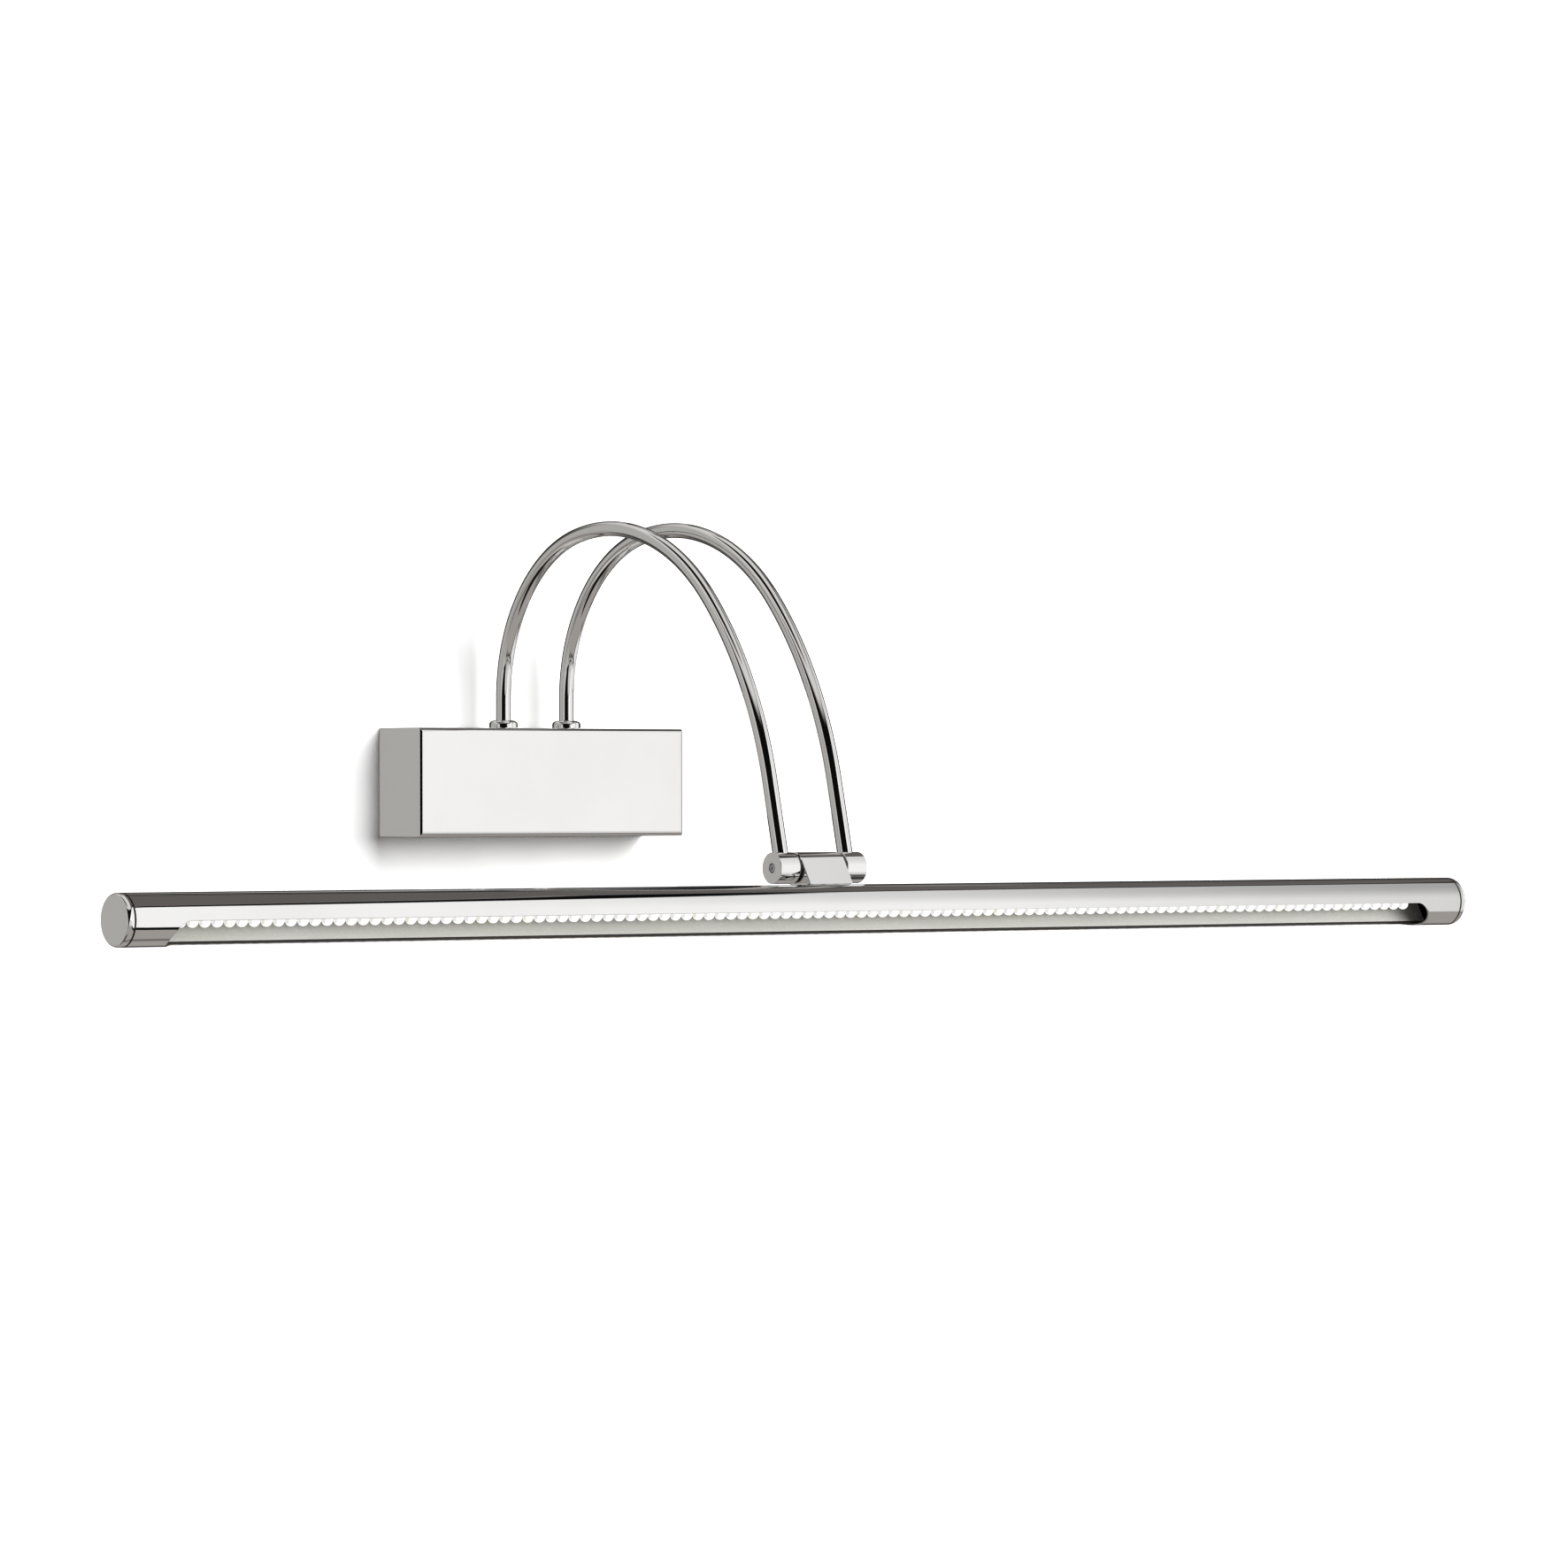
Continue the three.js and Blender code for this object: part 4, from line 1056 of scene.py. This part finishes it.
class Sky(Nodes):
    """Paints the room one thing over another, as masks on the direction of a reflected ray."""

    def __init__(self, tree):
        super().__init__(tree)
        self.look = self.add("ShaderNodeTexCoord").outputs["Generated"]
        self.across = self.along((1, 0, 0))
        self.inward = self.along((0, 1, 0))
        self.up = self.along((0, 0, 1))
        self.room = WHITE
        self.edge = self.screen_edge()
        self.left_of_edge = self.below(self.edge, -0.028, -0.016)

    def along(self, direction):
        return self.dot(self.look, direction)

    def below(self, value, low, high):
        """1 where value is below low, 0 where it is above high."""
        return self.smooth(value, low, high, 1.0, 0.0)

    def both(self, first, *others):
        """Where all the masks meet."""
        for other in others:
            first = self.math("MULTIPLY", first, other)
        return first

    def paint(self, mask, colour):
        self.room = self.mix(mask, self.room, colour)

    def screen_edge(self):
        """How far a direction is to the white side of the screen's left edge, which bends back overhead."""
        raised = self.math("MAXIMUM", self.up, 0.05)
        lean = self.math("DIVIDE", self.inward, raised)
        bend = self.math("MULTIPLY", raised, self.smooth(lean, -0.05, 0.35, 0.0, 0.28))
        low_part = self.math("MINIMUM", self.along(SCREEN_LOW), 0.0)
        edge = self.math("SUBTRACT", self.along(SCREEN_SLOPE), self.math("MULTIPLY", low_part, 0.15))
        return self.math("SUBTRACT", edge, bend)

    def paint_grey_room(self):
        """Grey, brightest beside the black gap, over a brown floor with a darker strip and a skirting."""
        gap_side = self.along(GAP_EDGE)
        grey = self.mix(self.smooth(gap_side, -0.40, -0.03), GREY_FAR, GREY_BY_THE_GAP)
        strip = self.both(
            self.smooth(self.inward, -0.10, 0.02),
            self.below(self.inward, 0.08, 0.2),
            self.below(self.across, 0.6, 0.66),
        )
        floor = self.mix(strip, FLOOR_BROWN, FLOOR_STRIP)
        self.room = self.mix(self.smooth(self.up, -0.42, -0.22), floor, grey)
        off_skirting = self.math("ABSOLUTE", self.along(SKIRTING))
        skirting = self.smooth(off_skirting, 0.012, 0.03, 0.9, 0.0)
        self.paint(self.both(skirting, self.below(self.across, 0.58, 0.62)), BLACK)

    def paint_window(self):
        """The window behind, in a black frame."""
        behind = self.along(WINDOW_SILL)
        window_frame = self.both(
            self.smooth(behind, 0.12, 0.135),
            self.smooth(self.up, -0.03, 0.0),
            self.smooth(self.across, 0.17, 0.19),
            self.below(self.across, 0.6, 0.64),
        )
        self.paint(window_frame, BLACK)
        pane = self.both(
            self.smooth(behind, 0.19, 0.21),
            self.smooth(self.across, 0.25, 0.27),
            self.smooth(self.up, 0.0, 0.03),
            self.below(self.across, 0.56, 0.6),
        )
        self.paint(pane, WINDOW_PANE)

    def paint_gap_and_ceiling(self):
        """The black gap on the camera's side, the dark ceiling, and the dark far right."""
        gap = self.both(
            self.smooth(self.along(GAP_EDGE), -0.05, -0.038),
            self.left_of_edge,
            self.smooth(self.up, -0.5, -0.42),
            self.below(self.up, 0.62, 0.74),
        )
        self.paint(gap, BLACK)
        overhead = self.both(
            self.smooth(self.up, 0.5, 0.58),
            self.left_of_edge,
            self.smooth(self.across, 0.40, 0.47),
            self.below(self.along(WINDOW_SILL), 0.12, 0.135),
        )
        far_right = self.both(self.smooth(self.across, 0.6, 0.64), self.smooth(self.up, -0.08, 0.0))
        self.paint(self.math("MAXIMUM", overhead, far_right), CEILING)
        steep = self.smooth(self.math("ABSOLUTE", self.up), 0.80, 0.84)
        self.paint(self.both(steep, self.below(self.across, -0.2, -0.1)), BLACK)

    def paint_wall_behind(self):
        """The dark wall behind the fitting, near the horizon, and a black post at the far right."""
        level = self.below(self.math("ABSOLUTE", self.up), 0.38, 0.62)
        self.paint(self.both(level, self.smooth(self.along(BEHIND), 0.40, 0.54)), WALL_BEHIND)
        self.paint(self.smooth(self.across, 0.965, 0.98), BLACK)

    def paint_screen(self):
        """The white screen, in its black border."""
        foot = self.along(SCREEN_FOOT)
        far = self.along(SCREEN_FAR)
        wide_border = self.smooth(foot, -0.128, -0.112)
        thin_border = self.smooth(foot, -0.02, -0.012)
        border = self.both(
            self.smooth(self.edge, -0.028, -0.016),
            self.below(far, -0.03, 0.0),
            self.mix(self.smooth(self.across, 0.6, 0.67), wide_border, thin_border),
        )
        self.paint(border, BLACK)
        level = self.smooth(self.across, 0.615, 0.71, 0.955, 0.66)
        shade = self.both(self.smooth(self.across, 0.55, 0.65, 0.0, 0.36), self.smooth(self.up, 0.2, 0.85))
        level = self.math("SUBTRACT", level, shade)
        level = self.math("MAXIMUM", level, self.smooth(self.across, 0.74, 0.80, 0.0, 0.95))
        level = self.math("ADD", level, self.smooth(self.across, 0.25, 0.40, 0.12, 0.0))
        white = self.add("ShaderNodeCombineColor", {0: level, 1: level, 2: level}).outputs[0]
        screen = self.both(
            self.smooth(self.edge, 0.02, 0.034),
            self.below(far, -0.13, -0.11),
            self.smooth(foot, -0.02, -0.008),
        )
        self.paint(screen, white)

    def paint_panels(self):
        """Two pale panels just below the horizon: one straight in front and one at the far right."""
        low = self.both(self.smooth(self.up, -0.40, -0.36), self.below(self.up, -0.05, -0.03))
        in_front = self.both(
            self.smooth(self.across, -0.12, -0.08),
            self.below(self.across, 0.30, 0.35),
            self.below(self.inward, -0.6, -0.5),
        )
        at_right = self.smooth(self.across, 0.88, 0.90)
        self.paint(self.both(low, self.math("MAXIMUM", in_front, at_right)), PALE_PANEL)


def build_studio_sky():
    """Gloss sees the painted room, matt surfaces get a plain soft light, and the camera sees white."""
    world = bpy.data.worlds.new("studio")
    world.use_nodes = True
    world.cycles.sampling_method = "NONE"
    bpy.context.scene.world = world
    sky = Sky(world.node_tree)
    sky.paint_grey_room()
    sky.paint_window()
    sky.paint_gap_and_ceiling()
    sky.paint_wall_behind()
    sky.paint_screen()
    sky.paint_panels()
    path = sky.add("ShaderNodeLightPath").outputs
    seen = sky.mix(path["Is Glossy Ray"], PLAIN_LIGHT, sky.room)
    seen = sky.mix(path["Is Camera Ray"], seen, WHITE)
    background = sky.add("ShaderNodeBackground", {"Color": seen, "Strength": 1.0}).outputs[0]
    sky.add("ShaderNodeOutputWorld", {"Surface": background})


build_camera()
build_studio_sky()
build_stage("wall", WALL_PLACE, WALL_HALF, Vector((0, -1, 0)), STAGE_COLOUR, 0.0)
build_stage("floor", FLOOR_PLACE, FLOOR_HALF, Vector((0, 0, 1)), STAGE_COLOUR, FLOOR_GLOW)
build_light("key", KEY_PLACE, (0, 0, 0), KEY_SIDE, KEY_WATTS)
bpy.context.scene.view_settings.view_transform = "Standard"
